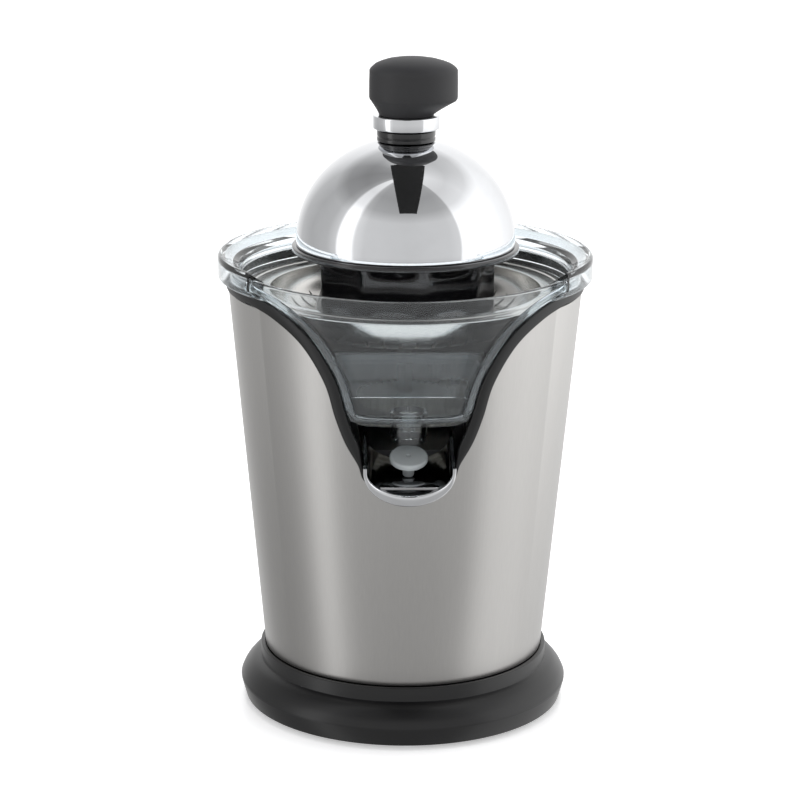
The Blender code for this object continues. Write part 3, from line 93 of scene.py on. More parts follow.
FINISHES = {
    "black_satin": Finish("black_satin", Surface.MOULDED, (0.0042, 0.0042, 0.0048), 0.32, grain=0.25,
                          coat=0.04),
    "trim": Finish("black_satin", Surface.MOULDED, (0.0050, 0.0052, 0.0058), 0.36, grain=0.30),
    "tub": Finish("black_satin", Surface.MOULDED, (0.0040, 0.0040, 0.0045), 0.42, grain=0.1),
    "black_gloss": Finish("black_gloss", Surface.POLISHED, (0.0060, 0.0060, 0.0070), 0.10, coat=0.5,
                          grain=0.2),
    "soft_grey": Finish("soft_grey", Surface.MOULDED, (0.022, 0.022, 0.024), 0.54, grain=0.7,
                        grain_size=1600.0),
    "brushed_steel": Finish("brushed_steel", Surface.BRUSHED, (0.60, 0.59, 0.575), 0.33, 1.0, grain=0.35),
    "dish_steel": Finish("brushed_steel", Surface.POLISHED, (0.62, 0.61, 0.59), 0.20, 1.0, grain=0.02),
    "chrome": Finish("chrome", Surface.POLISHED, (0.80, 0.81, 0.83), 0.035, 1.0, grain=0.08),
    # Darker copy of the chrome for the trough, its step and barrel: painted shade for the dark reflections in the
    # trough. The lip keeps the bright chrome.
    "spout_chrome_painted_shade": Finish("chrome", Surface.POLISHED, (0.50, 0.50, 0.51), 0.10, 1.0, grain=0.12),
    "clear": Finish("clear", Surface.CLEAR, (0.86, 0.90, 0.92), 0.045, grain=0.10),
    "silicone": Finish("silicone", Surface.MOULDED, (0.40, 0.43, 0.44), 0.50, grain=0.4),
    "rubber": Finish("rubber", Surface.MOULDED, (0.016, 0.016, 0.016), 0.75, grain=0.8),
    "laminations": Finish("laminations", Surface.RAW, (0.24, 0.24, 0.26), 0.42, 1.0),
    "copper": Finish("copper", Surface.RAW, (0.60, 0.25, 0.10), 0.34, 1.0),
    "bronze": Finish("bronze", Surface.RAW, (0.50, 0.34, 0.15), 0.40, 1.0),
    "nylon": Finish("nylon", Surface.MOULDED, (0.74, 0.72, 0.64), 0.46, grain=0.4),
    "zinc": Finish("zinc", Surface.RAW, (0.48, 0.49, 0.51), 0.36, 1.0),
    "carbon": Finish("carbon", Surface.RAW, (0.03, 0.03, 0.03), 0.65),
}

SKIN_OUTPUTS = {"Height": "NodeSocketFloat", "Patch": "NodeSocketFloat"}
BUMP_DEPTHS = {Surface.BRUSHED: 0.00001, Surface.MOULDED: 0.00002}
POLISHED_DEPTH = 0.000004
COAT_ROUGHNESS = 0.08
CLEAR_IOR = 1.46


def node_group(name: str, inputs: dict[str, float], outputs: dict[str, str],
               wire: Callable[[bpy.types.NodeTree, bpy.types.Node, bpy.types.Node],
                              None]) -> bpy.types.NodeTree:
    """Make a shader node group once.

    Args:
        name: The group's name.
        inputs: Float inputs with their defaults. A vector input called Place always comes first.
        outputs: Output names with their socket types.
        wire: Builds the group's inside between its input and output nodes.

    Returns:
        The node group.
    """
    if name in bpy.data.node_groups:
        return bpy.data.node_groups[name]
    tree = bpy.data.node_groups.new(name, "ShaderNodeTree")
    tree.interface.new_socket("Place", in_out="INPUT", socket_type="NodeSocketVector")
    for label, value in inputs.items():
        tree.interface.new_socket(label, in_out="INPUT", socket_type="NodeSocketFloat").default_value = value
    for label, kind in outputs.items():
        tree.interface.new_socket(label, in_out="OUTPUT", socket_type=kind)
    wire(tree, tree.nodes.new("NodeGroupInput"), tree.nodes.new("NodeGroupOutput"))
    return tree


def add(tree: bpy.types.NodeTree, kind: str, settings: Optional[dict] = None, **values) -> bpy.types.Node:
    """Add a shader node, set its properties and give its inputs values or links.

    Args:
        tree: The tree to add to.
        kind: The node's type without its ShaderNode prefix.
        settings: Properties of the node.
        **values: Inputs by name, with _ for spaces, as numbers, tuples or output sockets.

    Returns:
        The new node.
    """
    node = tree.nodes.new(f"ShaderNode{kind}")
    for label, value in (settings or {}).items():
        setattr(node, label, value)
    for label, value in values.items():
        wanted = label.replace("_", " ")
        socket = next(s for s in node.inputs if s.name == wanted and s.enabled)
        if isinstance(value, bpy.types.NodeSocket):
            tree.links.new(value, socket)
        else:
            socket.default_value = value
    return node


def math_node(tree: bpy.types.NodeTree, operation: str, first: Value, second: Value) -> bpy.types.NodeSocket:
    """Combine two numbers or sockets with a Math node and return its output.

    Args:
        tree: The tree to add to.
        operation: The Math node's operation.
        first: First number or output socket.
        second: Second number or output socket.

    Returns:
        The result's socket.
    """
    node = tree.nodes.new("ShaderNodeMath")
    node.operation = operation
    for socket, value in zip(node.inputs, (first, second)):
        if isinstance(value, bpy.types.NodeSocket):
            tree.links.new(value, socket)
        else:
            socket.default_value = value
    return node.outputs[0]


def moulded_skin() -> bpy.types.NodeTree:
    """The fine spark-eroded grain of moulded plastic, with slow changes in gloss.

    Returns:
        The node group.
    """
    def wire(tree: bpy.types.NodeTree, source: bpy.types.Node, sink: bpy.types.Node) -> None:
        """Build the group's inside."""
        fine = add(tree, "TexNoise", Vector=source.outputs["Place"], Scale=source.outputs["Size"],
                   Detail=3.0)
        slow = add(tree, "TexNoise", Vector=source.outputs["Place"], Scale=22.0, Detail=2.0)
        tree.links.new(fine.outputs["Fac"], sink.inputs["Height"])
        tree.links.new(slow.outputs["Fac"], sink.inputs["Patch"])

    return node_group("moulded_skin", {"Size": 900.0}, SKIN_OUTPUTS, wire)


def brushed_grain() -> bpy.types.NodeTree:
    """Long fine scratches that run up the part, over slow patches.

    Returns:
        The node group.
    """
    def wire(tree: bpy.types.NodeTree, source: bpy.types.Node, sink: bpy.types.Node) -> None:
        """Build the group's inside."""
        stretched = add(tree, "Mapping", Vector=source.outputs["Place"], Scale=(1.0, 1.0, 0.006))
        fine = add(tree, "TexNoise", Vector=stretched.outputs["Vector"], Scale=source.outputs["Size"],
                   Detail=4.0)
        coarse = add(tree, "TexNoise", Vector=stretched.outputs["Vector"], Scale=130.0, Detail=2.0)
        lines = math_node(tree, "ADD", math_node(tree, "MULTIPLY", fine.outputs["Fac"], 0.7),
                          math_node(tree, "MULTIPLY", coarse.outputs["Fac"], 0.3))
        slow = add(tree, "TexNoise", Vector=source.outputs["Place"], Scale=9.0, Detail=1.0)
        tree.links.new(lines, sink.inputs["Height"])
        tree.links.new(slow.outputs["Fac"], sink.inputs["Patch"])

    return node_group("brushed_grain", {"Size": 1500.0}, SKIN_OUTPUTS, wire)


def polished_skin() -> bpy.types.NodeTree:
    """Faint wiping marks on a polished face.

    Returns:
        The node group.
    """
    def wire(tree: bpy.types.NodeTree, source: bpy.types.Node, sink: bpy.types.Node) -> None:
        """Build the group's inside."""
        smear = add(tree, "TexNoise", Vector=source.outputs["Place"], Scale=34.0, Detail=5.0, Distortion=1.4)
        fine = add(tree, "TexNoise", Vector=source.outputs["Place"], Scale=source.outputs["Size"],
                   Detail=2.0)
        tree.links.new(fine.outputs["Fac"], sink.inputs["Height"])
        tree.links.new(smear.outputs["Fac"], sink.inputs["Patch"])

    return node_group("polished_skin", {"Size": 260.0}, SKIN_OUTPUTS, wire)


class Paintbox:
    """Builds each material once and hands it out."""

    def __init__(self) -> None:
        """Start with no materials."""
        self.made: dict[str, bpy.types.Material] = {}

    def get(self, name: str) -> bpy.types.Material:
        """Return the material for a finish, building it on first use.

        Args:
            name: A key of FINISHES.

        Returns:
            The material.
        """
        if name not in self.made:
            self.made[name] = self.build(name, FINISHES[name])
        return self.made[name]

    def build(self, name: str, finish: Finish) -> bpy.types.Material:
        """Build a finish's material.

        Args:
            name: The material's name.
            finish: The finish's values.

        Returns:
            The material.
        """
        material = bpy.data.materials.new(name)
        material.use_nodes = True
        tree = material.node_tree
        shader = tree.nodes["Principled BSDF"]
        place = tree.nodes.new("ShaderNodeTexCoord").outputs["Object"]
        groups = {Surface.BRUSHED: brushed_grain, Surface.POLISHED: polished_skin,
                  Surface.CLEAR: polished_skin}
        skin = tree.nodes.new("ShaderNodeGroup")
        skin.node_tree = groups.get(finish.surface, moulded_skin)()
        tree.links.new(place, skin.inputs["Place"])
        if finish.surface is Surface.MOULDED:
            skin.inputs["Size"].default_value = finish.grain_size
        patch, height = skin.outputs["Patch"], skin.outputs["Height"]
        gloss = add(tree, "MapRange", Value=patch, To_Min=finish.roughness * (1 - finish.variation * 2),
                    To_Max=finish.roughness * (1 + finish.variation * 2))
        tree.links.new(gloss.outputs["Result"], shader.inputs["Roughness"])
        self.tint(tree, shader, finish, patch, height)
        depth = BUMP_DEPTHS.get(finish.surface, POLISHED_DEPTH)
        bump = add(tree, "Bump", Height=height, Strength=finish.grain, Distance=depth)
        tree.links.new(bump.outputs["Normal"], shader.inputs["Normal"])
        shader.inputs["Metallic"].default_value = finish.metallic
        shader.inputs["Coat Weight"].default_value = finish.coat
        shader.inputs["Coat Roughness"].default_value = COAT_ROUGHNESS
        if finish.surface is Surface.CLEAR:
            shader.inputs["Transmission Weight"].default_value = 1.0
            shader.inputs["IOR"].default_value = CLEAR_IOR
        return material

    def tint(self, tree: bpy.types.NodeTree, shader: bpy.types.Node, finish: Finish,
             patch: bpy.types.NodeSocket, height: bpy.types.NodeSocket) -> None:
        """Let the colour change a little over the surface.

        Args:
            tree: The material's tree.
            shader: Its Principled node.
            finish: The finish's values.
            patch: Slow changes over the surface.
            height: The surface's fine detail.
        """
        spread = finish.variation
        dark = tuple(channel * (1 - spread) for channel in finish.colour)
        light = tuple(min(channel * (1 + spread), 1.0) for channel in finish.colour)
        mask = height if finish.surface is Surface.BRUSHED else patch
        mix = add(tree, "Mix", {"data_type": "RGBA"}, Factor=mask, A=(*dark, 1.0), B=(*light, 1.0))
        tree.links.new(mix.outputs[2], shader.inputs["Base Color"])


PAINT = Paintbox()


# Mesh tools

def piece_from(mesh: bmesh.types.BMesh, name: str, finish: str, body: str,
               sharp: float = 35.0) -> bpy.types.Object:
    """Turn a bmesh into a finished piece that rides on a body.

    Args:
        mesh: The closed mesh, in metres.
        name: The piece's name.
        finish: A key of FINISHES.
        body: The body that it moves with.
        sharp: Edges over this angle, in degrees, stay sharp.

    Returns:
        The piece.
    """
    bmesh.ops.recalc_face_normals(mesh, faces=mesh.faces)
    data = bpy.data.meshes.new(name)
    mesh.to_mesh(data)
    mesh.free()
    thing = bpy.data.objects.new(name, data)
    bpy.context.scene.collection.objects.link(thing)
    dress(thing, finish, sharp)
    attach(thing, body)
    log.info("%s: %d faces on %s", name, len(data.polygons), body)
    return thing


def dress(thing: bpy.types.Object, finish: str, sharp: float = 35.0) -> None:
    """Shade a mesh smooth between its sharp edges and give it its finish.

    Args:
        thing: The object.
        finish: A key of FINISHES.
        sharp: Edges over this angle, in degrees, stay sharp.
    """
    thing.data.shade_smooth()
    thing.data.set_sharp_from_angle(angle=math.radians(sharp))
    thing.data.materials.clear()
    thing.data.materials.append(PAINT.get(finish))


def rounded(outline: Sequence[Point], radius: float, steps: int = 3) -> list[Point]:
    """Round each corner of a closed outline, limited by half of its shorter side.

    Args:
        outline: Closed outline.
        radius: The largest corner radius.
        steps: Segments in each corner.

    Returns:
        The outline with an arc-like curve at each corner.
    """
    result: list[Point] = []
    count = len(outline)
    for index in range(count):
        corner = Vector(outline[index])
        before = Vector(outline[index - 1]) - corner
        after = Vector(outline[(index + 1) % count]) - corner
        turn = before.angle(-after, 0.0)
        reach = min(radius * math.tan(turn / 2), before.length * 0.45, after.length * 0.45)
        if turn < math.radians(12) or corner.x < 0.01 or reach < 0.02:
            result.append(tuple(corner))
            continue
        start = corner + before.normalized() * reach
        end = corner + after.normalized() * reach
        for step in range(steps + 1):
            t = step / steps
            point = start * (1 - t) ** 2 + corner * 2 * t * (1 - t) + end * t * t
            result.append(tuple(point))
    return result


def turned_mesh(outline: Sequence[Point], steps: int = 160, start: float = 0.0,
                sweep: float = 360.0) -> bmesh.types.BMesh:
    """Turn a closed outline of (radius, z) about Z.

    Args:
        outline: Closed outline in millimetres; points at radius 0 close on the axis.
        steps: Facets of the turn.
        start: First angle in degrees.
        sweep: Angle turned through; 360 closes on itself, less gets end caps.

    Returns:
        The turned mesh.
    """
    mesh = bmesh.new()
    first = Matrix.Rotation(math.radians(start), 3, "Z")
    corners = [mesh.verts.new(first @ Vector((r * MM, 0.0, z * MM))) for r, z in outline]
    radii = [r for r, _ in outline]
    edges = [mesh.edges.new((corners[i], corners[(i + 1) % len(corners)])) for i in range(len(corners))
             if radii[i] > 0 or radii[(i + 1) % len(radii)] > 0]
    whole = abs(sweep - 360.0) < 1e-6
    spun = bmesh.ops.spin(mesh, geom=corners + edges, cent=(0, 0, 0), axis=(0, 0, 1),
                          angle=math.radians(sweep),
                          steps=steps, use_merge=whole)
    if not whole:
        last = [part for part in spun["geom_last"] if isinstance(part, bmesh.types.BMEdge)]
        bmesh.ops.edgeloop_fill(mesh, edges=edges)
        bmesh.ops.edgeloop_fill(mesh, edges=last)
    bmesh.ops.remove_doubles(mesh, verts=mesh.verts, dist=1e-7)
    bmesh.ops.dissolve_degenerate(mesh, edges=mesh.edges, dist=1e-7)
    return mesh


def bare(mesh: bmesh.types.BMesh, name: str = "tool") -> bpy.types.Object:
    """A bmesh as an object with no finish, to cut or join with.

    Args:
        mesh: The mesh, which is used up.
        name: The object's name.

    Returns:
        The object.
    """
    bmesh.ops.recalc_face_normals(mesh, faces=mesh.faces)
    data = bpy.data.meshes.new(name)
    mesh.to_mesh(data)
    mesh.free()
    thing = bpy.data.objects.new(name, data)
    bpy.context.scene.collection.objects.link(thing)
    return thing


def combined(target: bpy.types.Object, tools: Iterable[bpy.types.Object],
             operation: str) -> bmesh.types.BMesh:
    """Cut, join or intersect bare objects, use them up and return the result as a bmesh.

    Args:
        target: The object to work on.
        tools: The objects to work on it with.
        operation: DIFFERENCE, UNION or INTERSECT.

    Returns:
        The resulting mesh.
    """
    group = bpy.data.collections.new("tools")
    tools = list(tools)
    for tool in tools:
        group.objects.link(tool)
    boolean = target.modifiers.new("shape", "BOOLEAN")
    boolean.operation = operation
    boolean.operand_type = "COLLECTION"
    boolean.collection = group
    boolean.solver = "EXACT"
    graph = bpy.context.evaluated_depsgraph_get()
    graph.update()
    result = bmesh.new()
    result.from_mesh(target.evaluated_get(graph).data)
    bmesh.ops.remove_doubles(result, verts=result.verts, dist=1e-6)
    bpy.data.collections.remove(group)
    for thing in (target, *tools):
        bpy.data.objects.remove(thing)
    return result


def swept_mesh(frames: Sequence[tuple[Matrix, float]], profile: Sequence[Point]) -> bmesh.types.BMesh:
    """Sweep a closed profile through frames and join the last to the first.

    Args:
        frames: A matrix for each station and the width by which the profile's first axis is scaled.
        profile: Points whose first value runs from -0.5 to 0.5 of the width and second is in millimetres.

    Returns:
        The closed swept mesh.
    """
    mesh = bmesh.new()

    def station(index: int) -> list[Vector]:
        """Return the profile's points at one station."""
        matrix, width = frames[index]
        return [matrix @ Vector((a * width * MM, b * MM, 0.0)) for a, b in profile]

    corners = [mesh.verts.new(place) for place in station(0)]
    first = [mesh.edges.new((corners[i - 1], corners[i])) for i in range(len(corners))]
    loop, ring = first, corners
    for index in range(1, len(frames)):
        loop, ring = grown_ring(mesh, loop, ring, station(index))
    bmesh.ops.bridge_loops(mesh, edges=loop + first)
    return mesh


def grown_ring(mesh: bmesh.types.BMesh, loop: list[bmesh.types.BMEdge], ring: list[bmesh.types.BMVert],
               places: Sequence[Vector]) -> tuple[list[bmesh.types.BMEdge], list[bmesh.types.BMVert]]:
    """Extrude a ring of edges and put its corners in new places.

    Args:
        mesh: The mesh that the ring is in.
        loop: The ring's edges, or an empty list to start one with a face across it.
        ring: The ring's corners in order.
        places: Where the new ring's corners go.

    Returns:
        The new ring's edges and corners.
    """
    if not loop:
        corners = [mesh.verts.new(place) for place in places]
        edges = [mesh.edges.new((corners[i - 1], corners[i])) for i in range(len(corners))]
        bmesh.ops.edgeloop_fill(mesh, edges=edges)
        return edges, corners
    grown = bmesh.ops.extrude_edge_only(mesh, edges=loop)["geom"]
    fresh = {part for part in grown if isinstance(part, bmesh.types.BMVert)}
    following = [next(e.other_vert(c) for e in c.link_edges if e.other_vert(c) in fresh) for c in ring]
    for corner, place in zip(following, places):
        corner.co = place
    return [mesh.edges.get((following[i - 1], following[i])) for i in range(len(following))], following


def rod_mesh(radius: float, low: float, high: float, place: Point = (0.0, 0.0), steps: int = 48,
             edge: float = 0.3) -> bmesh.types.BMesh:
    """A round bar along Z with slightly rounded ends.

    Args:
        radius: The bar's radius in millimetres.
        low: Height of its lower end.
        high: Height of its upper end.
        place: Where its axis stands, as (x, y).
        steps: Facets of the turn.
        edge: Radius of its rounded ends.

    Returns:
        The bar.
    """
    mesh = turned_mesh(rounded([(0.0, low), (radius, low), (radius, high), (0.0, high)], edge), steps)
    bmesh.ops.translate(mesh, verts=mesh.verts, vec=(place[0] * MM, place[1] * MM, 0.0))
    return mesh


def lofted_mesh(rings: Sequence[tuple[float, float, float, float]], steps: int,
                reach: Optional[Callable[[float, float], float]] = None) -> bmesh.types.BMesh:
    """Grow a closed solid from a circle by extruding it level by level.

    Args:
        rings: For each level its x offset, half length, half width and z, in millimetres.
        steps: Points around.
        reach: A factor for the radius at an angle and height, for ribs and flutes.

    Returns:
        The mesh, closed with a face at its foot and at its top.
    """
    mesh = bmesh.new()
    ways = [Vector((math.cos(angle), math.sin(angle), 0.0)) for angle in
            (2 * math.pi * index / steps for index in range(steps))]
    loop: list[bmesh.types.BMEdge] = []
    ring: list[bmesh.types.BMVert] = []
    for middle, along, across, z in rings:
        places = []
        for way in ways:
            factor = reach(math.atan2(way.y, way.x), z) if reach else 1.0
            places.append(Vector((middle + way.x * along * factor, way.y * across * factor, z)) * MM)
        loop, ring = grown_ring(mesh, loop, ring, places)
    bmesh.ops.edgeloop_fill(mesh, edges=loop)
    return mesh


def smooth_line(points: Sequence[Point], steps: int) -> list[Point]:
    """A Catmull-Rom curve through points, with a number of steps between each two.

    Args:
        points: The points to pass through.
        steps: Steps between each two.

    Returns:
        The curve's points.
    """
    line: list[Point] = []
    padded = [points[0], *points, points[-1]]
    for before, here, there, after in zip(padded, padded[1:], padded[2:], padded[3:]):
        for step in range(steps):
            t = step / steps
            line.append(tuple(0.5 * (2 * b + (c - a) * t + (2 * a - 5 * b + 4 * c - d) * t * t
                                     + (3 * b - a - 3 * c + d) * t ** 3)
                              for a, b, c, d in zip(before, here, there, after)))
    return line + [points[-1]]


# The body's shape, shared by its parts

@dataclass
class BodyShape:
    """The tapered body: its cone, the notch at the front and the widths of the band along it."""

    foot_z: float = 31.0
    height: float = 200.0
    foot_radius: float = 75.95
    top_radius: float = 94.5
    notch_top_share: float = 0.889
    trim_width: float = 6.0
    trim_foot_width: float = 1.5
    blend_top: float = 66.0
    blend_foot: float = 80.0
    notch_points: tuple = ((70.0, 3.2), (55.0, 14.5), (43.5, 33.0), (38.0, 51.0), (32.8, 64.5), (26.2, 76.0),
                           (23.2, 84.0), (14.0, 91.3), (0.0, 93.5))

    @property
    def top(self) -> float:
        """Height of the body's top edge."""
        return self.foot_z + self.height

    def radius(self, z: float) -> float:
        """Return the radius of the steel's outer face at height z."""
        return self.foot_radius + (self.top_radius - self.foot_radius) * (z - self.foot_z) / self.height

    def band_at(self, z: float) -> float:
        """Width of the black band along the notch at height z.

        Args:
            z: Height in millimetres.

        Returns:
            The width in millimetres.
        """
        share = (self.top - z - self.blend_top) / (self.blend_foot - self.blend_top)
        share = min(max(share, 0.0), 1.0)
        return self.trim_width + (self.trim_foot_width - self.trim_width) * share * share * (3 - 2 * share)

    def notch(self, inset: float = 0.0, band: float = 0.0, steps: int = 10) -> list[Point]:
        """Half of the notch's outline as (x, z) from its top to its foot.

        Args:
            inset: Taken off inwards all along.
            band: Share of the black band's width that is taken off as well.
            steps: Points between two of the outline's own points.

        Returns:
            The half outline.
        """
        widest = self.top_radius * self.notch_top_share
        points = [(widest, self.top + 1.0)] + [(x, self.top - depth) for x, depth in self.notch_points]
        line = smooth_line(points, steps)
        half: list[Point] = []
        for index, (x, z) in enumerate(line):
            before, after = line[max(index - 1, 0)], line[min(index + 1, len(line) - 1)]
            along = Vector((after[0] - before[0], after[1] - before[1])).normalized()
            if index == len(line) - 1:
                along = Vector((-1.0, 0.0))
            distance = inset + band * self.band_at(z)
            half.append((max(x + along.y * distance, 0.0), z - along.x * distance))
        return half

    def notch_tool(self, inset: float = 0.0, band: float = 0.0, foot: Optional[float] = None,
                   top: float = 290.0, back: float = -30.0) -> bpy.types.Object:
        """The notch as a solid along Y.

        Args:
            inset: Taken off the outline inwards.
            band: Share of the band's width that is taken off as well.
            foot: Height of a straight lower edge, or None for the round one.
            top: Height of the solid's top.
            back: The y of its rear face.

        Returns:
            The bare solid.
        """
        half = self.notch(inset, band)
        if foot is not None:
            above = [point for point in half if point[1] > foot + 0.3]
            half = above + [(above[-1][0], foot)]
        else:
            half = half[:-1] + [(0.0, half[-1][1])]
        right = [(half[0][0], top)] + half
        outline = right + [(-x, z) for x, z in reversed(right) if x > 0.0]
        mesh = bmesh.new()
        corners = [mesh.verts.new(Vector((x, -140.0, z)) * MM) for x, z in outline]
        face = mesh.faces.new(corners)
        grown = bmesh.ops.extrude_face_region(mesh, geom=[face])["geom"]
        moved = [part for part in grown if isinstance(part, bmesh.types.BMVert)]
        bmesh.ops.translate(mesh, verts=moved, vec=(0.0, (back + 140.0) * MM, 0.0))
        return bare(mesh)

    def on_cone(self, x: float, z: float, offset: float = 0.0) -> Vector:
        """The point of the cone's front at x and z, in millimetres.

        Args:
            x: Distance to the right of the middle.
            z: Height.
            offset: How far outside the steel's outer face.

        Returns:
            The point.
        """
        radius = self.radius(z) + offset
        return Vector((x, -math.sqrt(max(radius * radius - x * x, 0.0)), z))


SHAPE = BodyShape()


@dataclass
class Base:
    """The black foot: a leaning band, a sloping skirt and a collar."""

    edge_radius: float = 89.5
    foot_radius: float = 87.0
    edge_z: float = 12.0
    foot_z: float = 2.0
    wall: float = 2.6
    collar_radius: float = 78.55

    def outline(self) -> list[Point]:
        """The skirt's closed outline.

        Returns:
            The outline as (radius, z).
        """
        slope = smooth_line([(self.collar_radius, 23.6), (83.2, 21.2), (87.4, 16.6),
                             (self.edge_radius, 12.4)], 5)
        outer = [(self.foot_radius, self.foot_z),
                 (self.edge_radius, self.edge_z - 0.6)] + list(reversed(slope))
        outer += [(self.collar_radius, SHAPE.foot_z)]
        inner = [(self.collar_radius - self.wall, SHAPE.foot_z), (self.collar_radius - self.wall, 22.0),
                 (self.edge_radius - self.wall - 0.6, 11.0), (self.foot_radius - self.wall, self.foot_z)]
        return outer + inner

    def build(self) -> None:
        """Turn the skirt."""
        skirt = turned_mesh(rounded(self.outline(), 0.7), 192)
        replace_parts(piece_from(skirt, "base_skirt_fine", "black_satin", "body", 28.0), "base_skirt")


@dataclass
class Sleeve:
    """The brushed steel sleeve with its notch."""

    thickness: float = 1.0
    gap: float = 0.3
    gland_bore: float = 5.3
    gland_level: float = 45.0
    gland_depth: float = 12.0

    def build(self) -> None:
        """Turn the sleeve finely, with rolled edges, and cut the notch."""
        low, high = SHAPE.foot_z + self.gap, SHAPE.top - self.gap
        outline = rounded([(SHAPE.radius(low), low), (SHAPE.radius(high), high),
                           (SHAPE.radius(high) - self.thickness, high),
                           (SHAPE.radius(low) - self.thickness, low)],
                          0.45, 2)
        sleeve = combined(bare(turned_mesh(outline, 256)), [SHAPE.notch_tool(0.0), self.gland_hole()],
                          "DIFFERENCE")
        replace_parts(piece_from(sleeve, "steel_sleeve", "brushed_steel", "body", 25.0), "steel_shell")

    def gland_hole(self) -> bpy.types.Object:
        """The hole for the cable gland, low at the rear.

        Returns:
            The bare solid to cut with.
        """
        mesh = rod_mesh(self.gland_bore, -10.0, 30.0)
        low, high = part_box("cord_gland")
        turn = Matrix.Translation((0.0, (SHAPE.radius(self.gland_level) - self.gland_depth) * MM,
                                   (low[2] + high[2]) / 2))
        bmesh.ops.transform(mesh, matrix=turn @ Matrix.Rotation(-math.pi / 2, 4, "X"), verts=mesh.verts)
        return bare(mesh)


@dataclass
class Trim:
    """The black band: along the notch and round the top, as one swept piece."""

    proud: float = 1.0
    depth: float = 1.0
    ring_height: float = 6.2
    ring_steps: int = 120
    ring_ease: float = 14.0

    def stations(self) -> list[tuple[Matrix, float]]:
        """Frames along the band, from the foot of the notch up its right side, round the back and down
        again.

        Returns:
            A matrix and a width for each station.
        """
        outer, inner = SHAPE.notch(0.3, 0.0, 8), SHAPE.notch(0.0, 1.0, 8)
        right = [(SHAPE.on_cone(*a), SHAPE.on_cone(*b)) for a,
                 b in zip(reversed(outer), reversed(inner))][:-2]
        path = list(right)
        end_low, end_high = right[-1]
        first = math.atan2(end_low.y, end_low.x)
        low, high = SHAPE.top + 0.25, SHAPE.top + self.ring_height
        for step in range(1, self.ring_steps):
            share = step / self.ring_steps
            angle = first + (math.pi - 2 * first) * share
            ease = min(min(share, 1 - share) * self.ring_ease, 1.0)
            a_z = end_low.z + (low - end_low.z) * ease
            b_z = end_high.z + (high - end_high.z) * ease
            out = Vector((math.cos(angle), math.sin(angle), 0.0))
            path.append((out * SHAPE.radius(a_z) + Vector((0, 0, a_z)),
                         out * SHAPE.radius(b_z) + Vector((0, 0, b_z))))
        path += [(Vector((-a.x, a.y, a.z)), Vector((-b.x, b.y, b.z))) for a, b in reversed(right[1:])]
        frames = []
        for a, b in path:
            across = b - a
            middle = (a + b) / 2
            out = Vector((middle.x, middle.y, 0.0)).normalized()
            along = across.normalized().cross(out).normalized()
            out = along.cross(across.normalized()).normalized()
            basis = Matrix((across.normalized(), out, along)).transposed().to_4x4()
            frames.append((Matrix.Translation(middle * MM) @ basis, across.length))
        return frames

    def build(self) -> None:
        """Sweep the band."""
        profile = [(-0.5, -self.depth), (-0.5, self.proud * 0.45), (-0.47, self.proud * 0.8),
                   (-0.38, self.proud),
                   (0.0, self.proud * 1.08), (0.38, self.proud), (0.47, self.proud * 0.8),
                   (0.5, self.proud * 0.45),
                   (0.5, -self.depth)]
        band = piece_from(swept_mesh(self.stations(), profile), "trim_band", "trim", "body", 40.0)
        seat = turned_mesh(rounded([(90.4, SHAPE.top + 2.0), (94.2, SHAPE.top + 2.0),
                                    (94.2, SHAPE.top + 6.0),
                                    (90.4, SHAPE.top + 6.0)], 0.5), 192, start=-28.0, sweep=236.0)
        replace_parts(band, "trim_frame")
        piece_from(seat, "trim_seat", "trim", "body", 40.0)


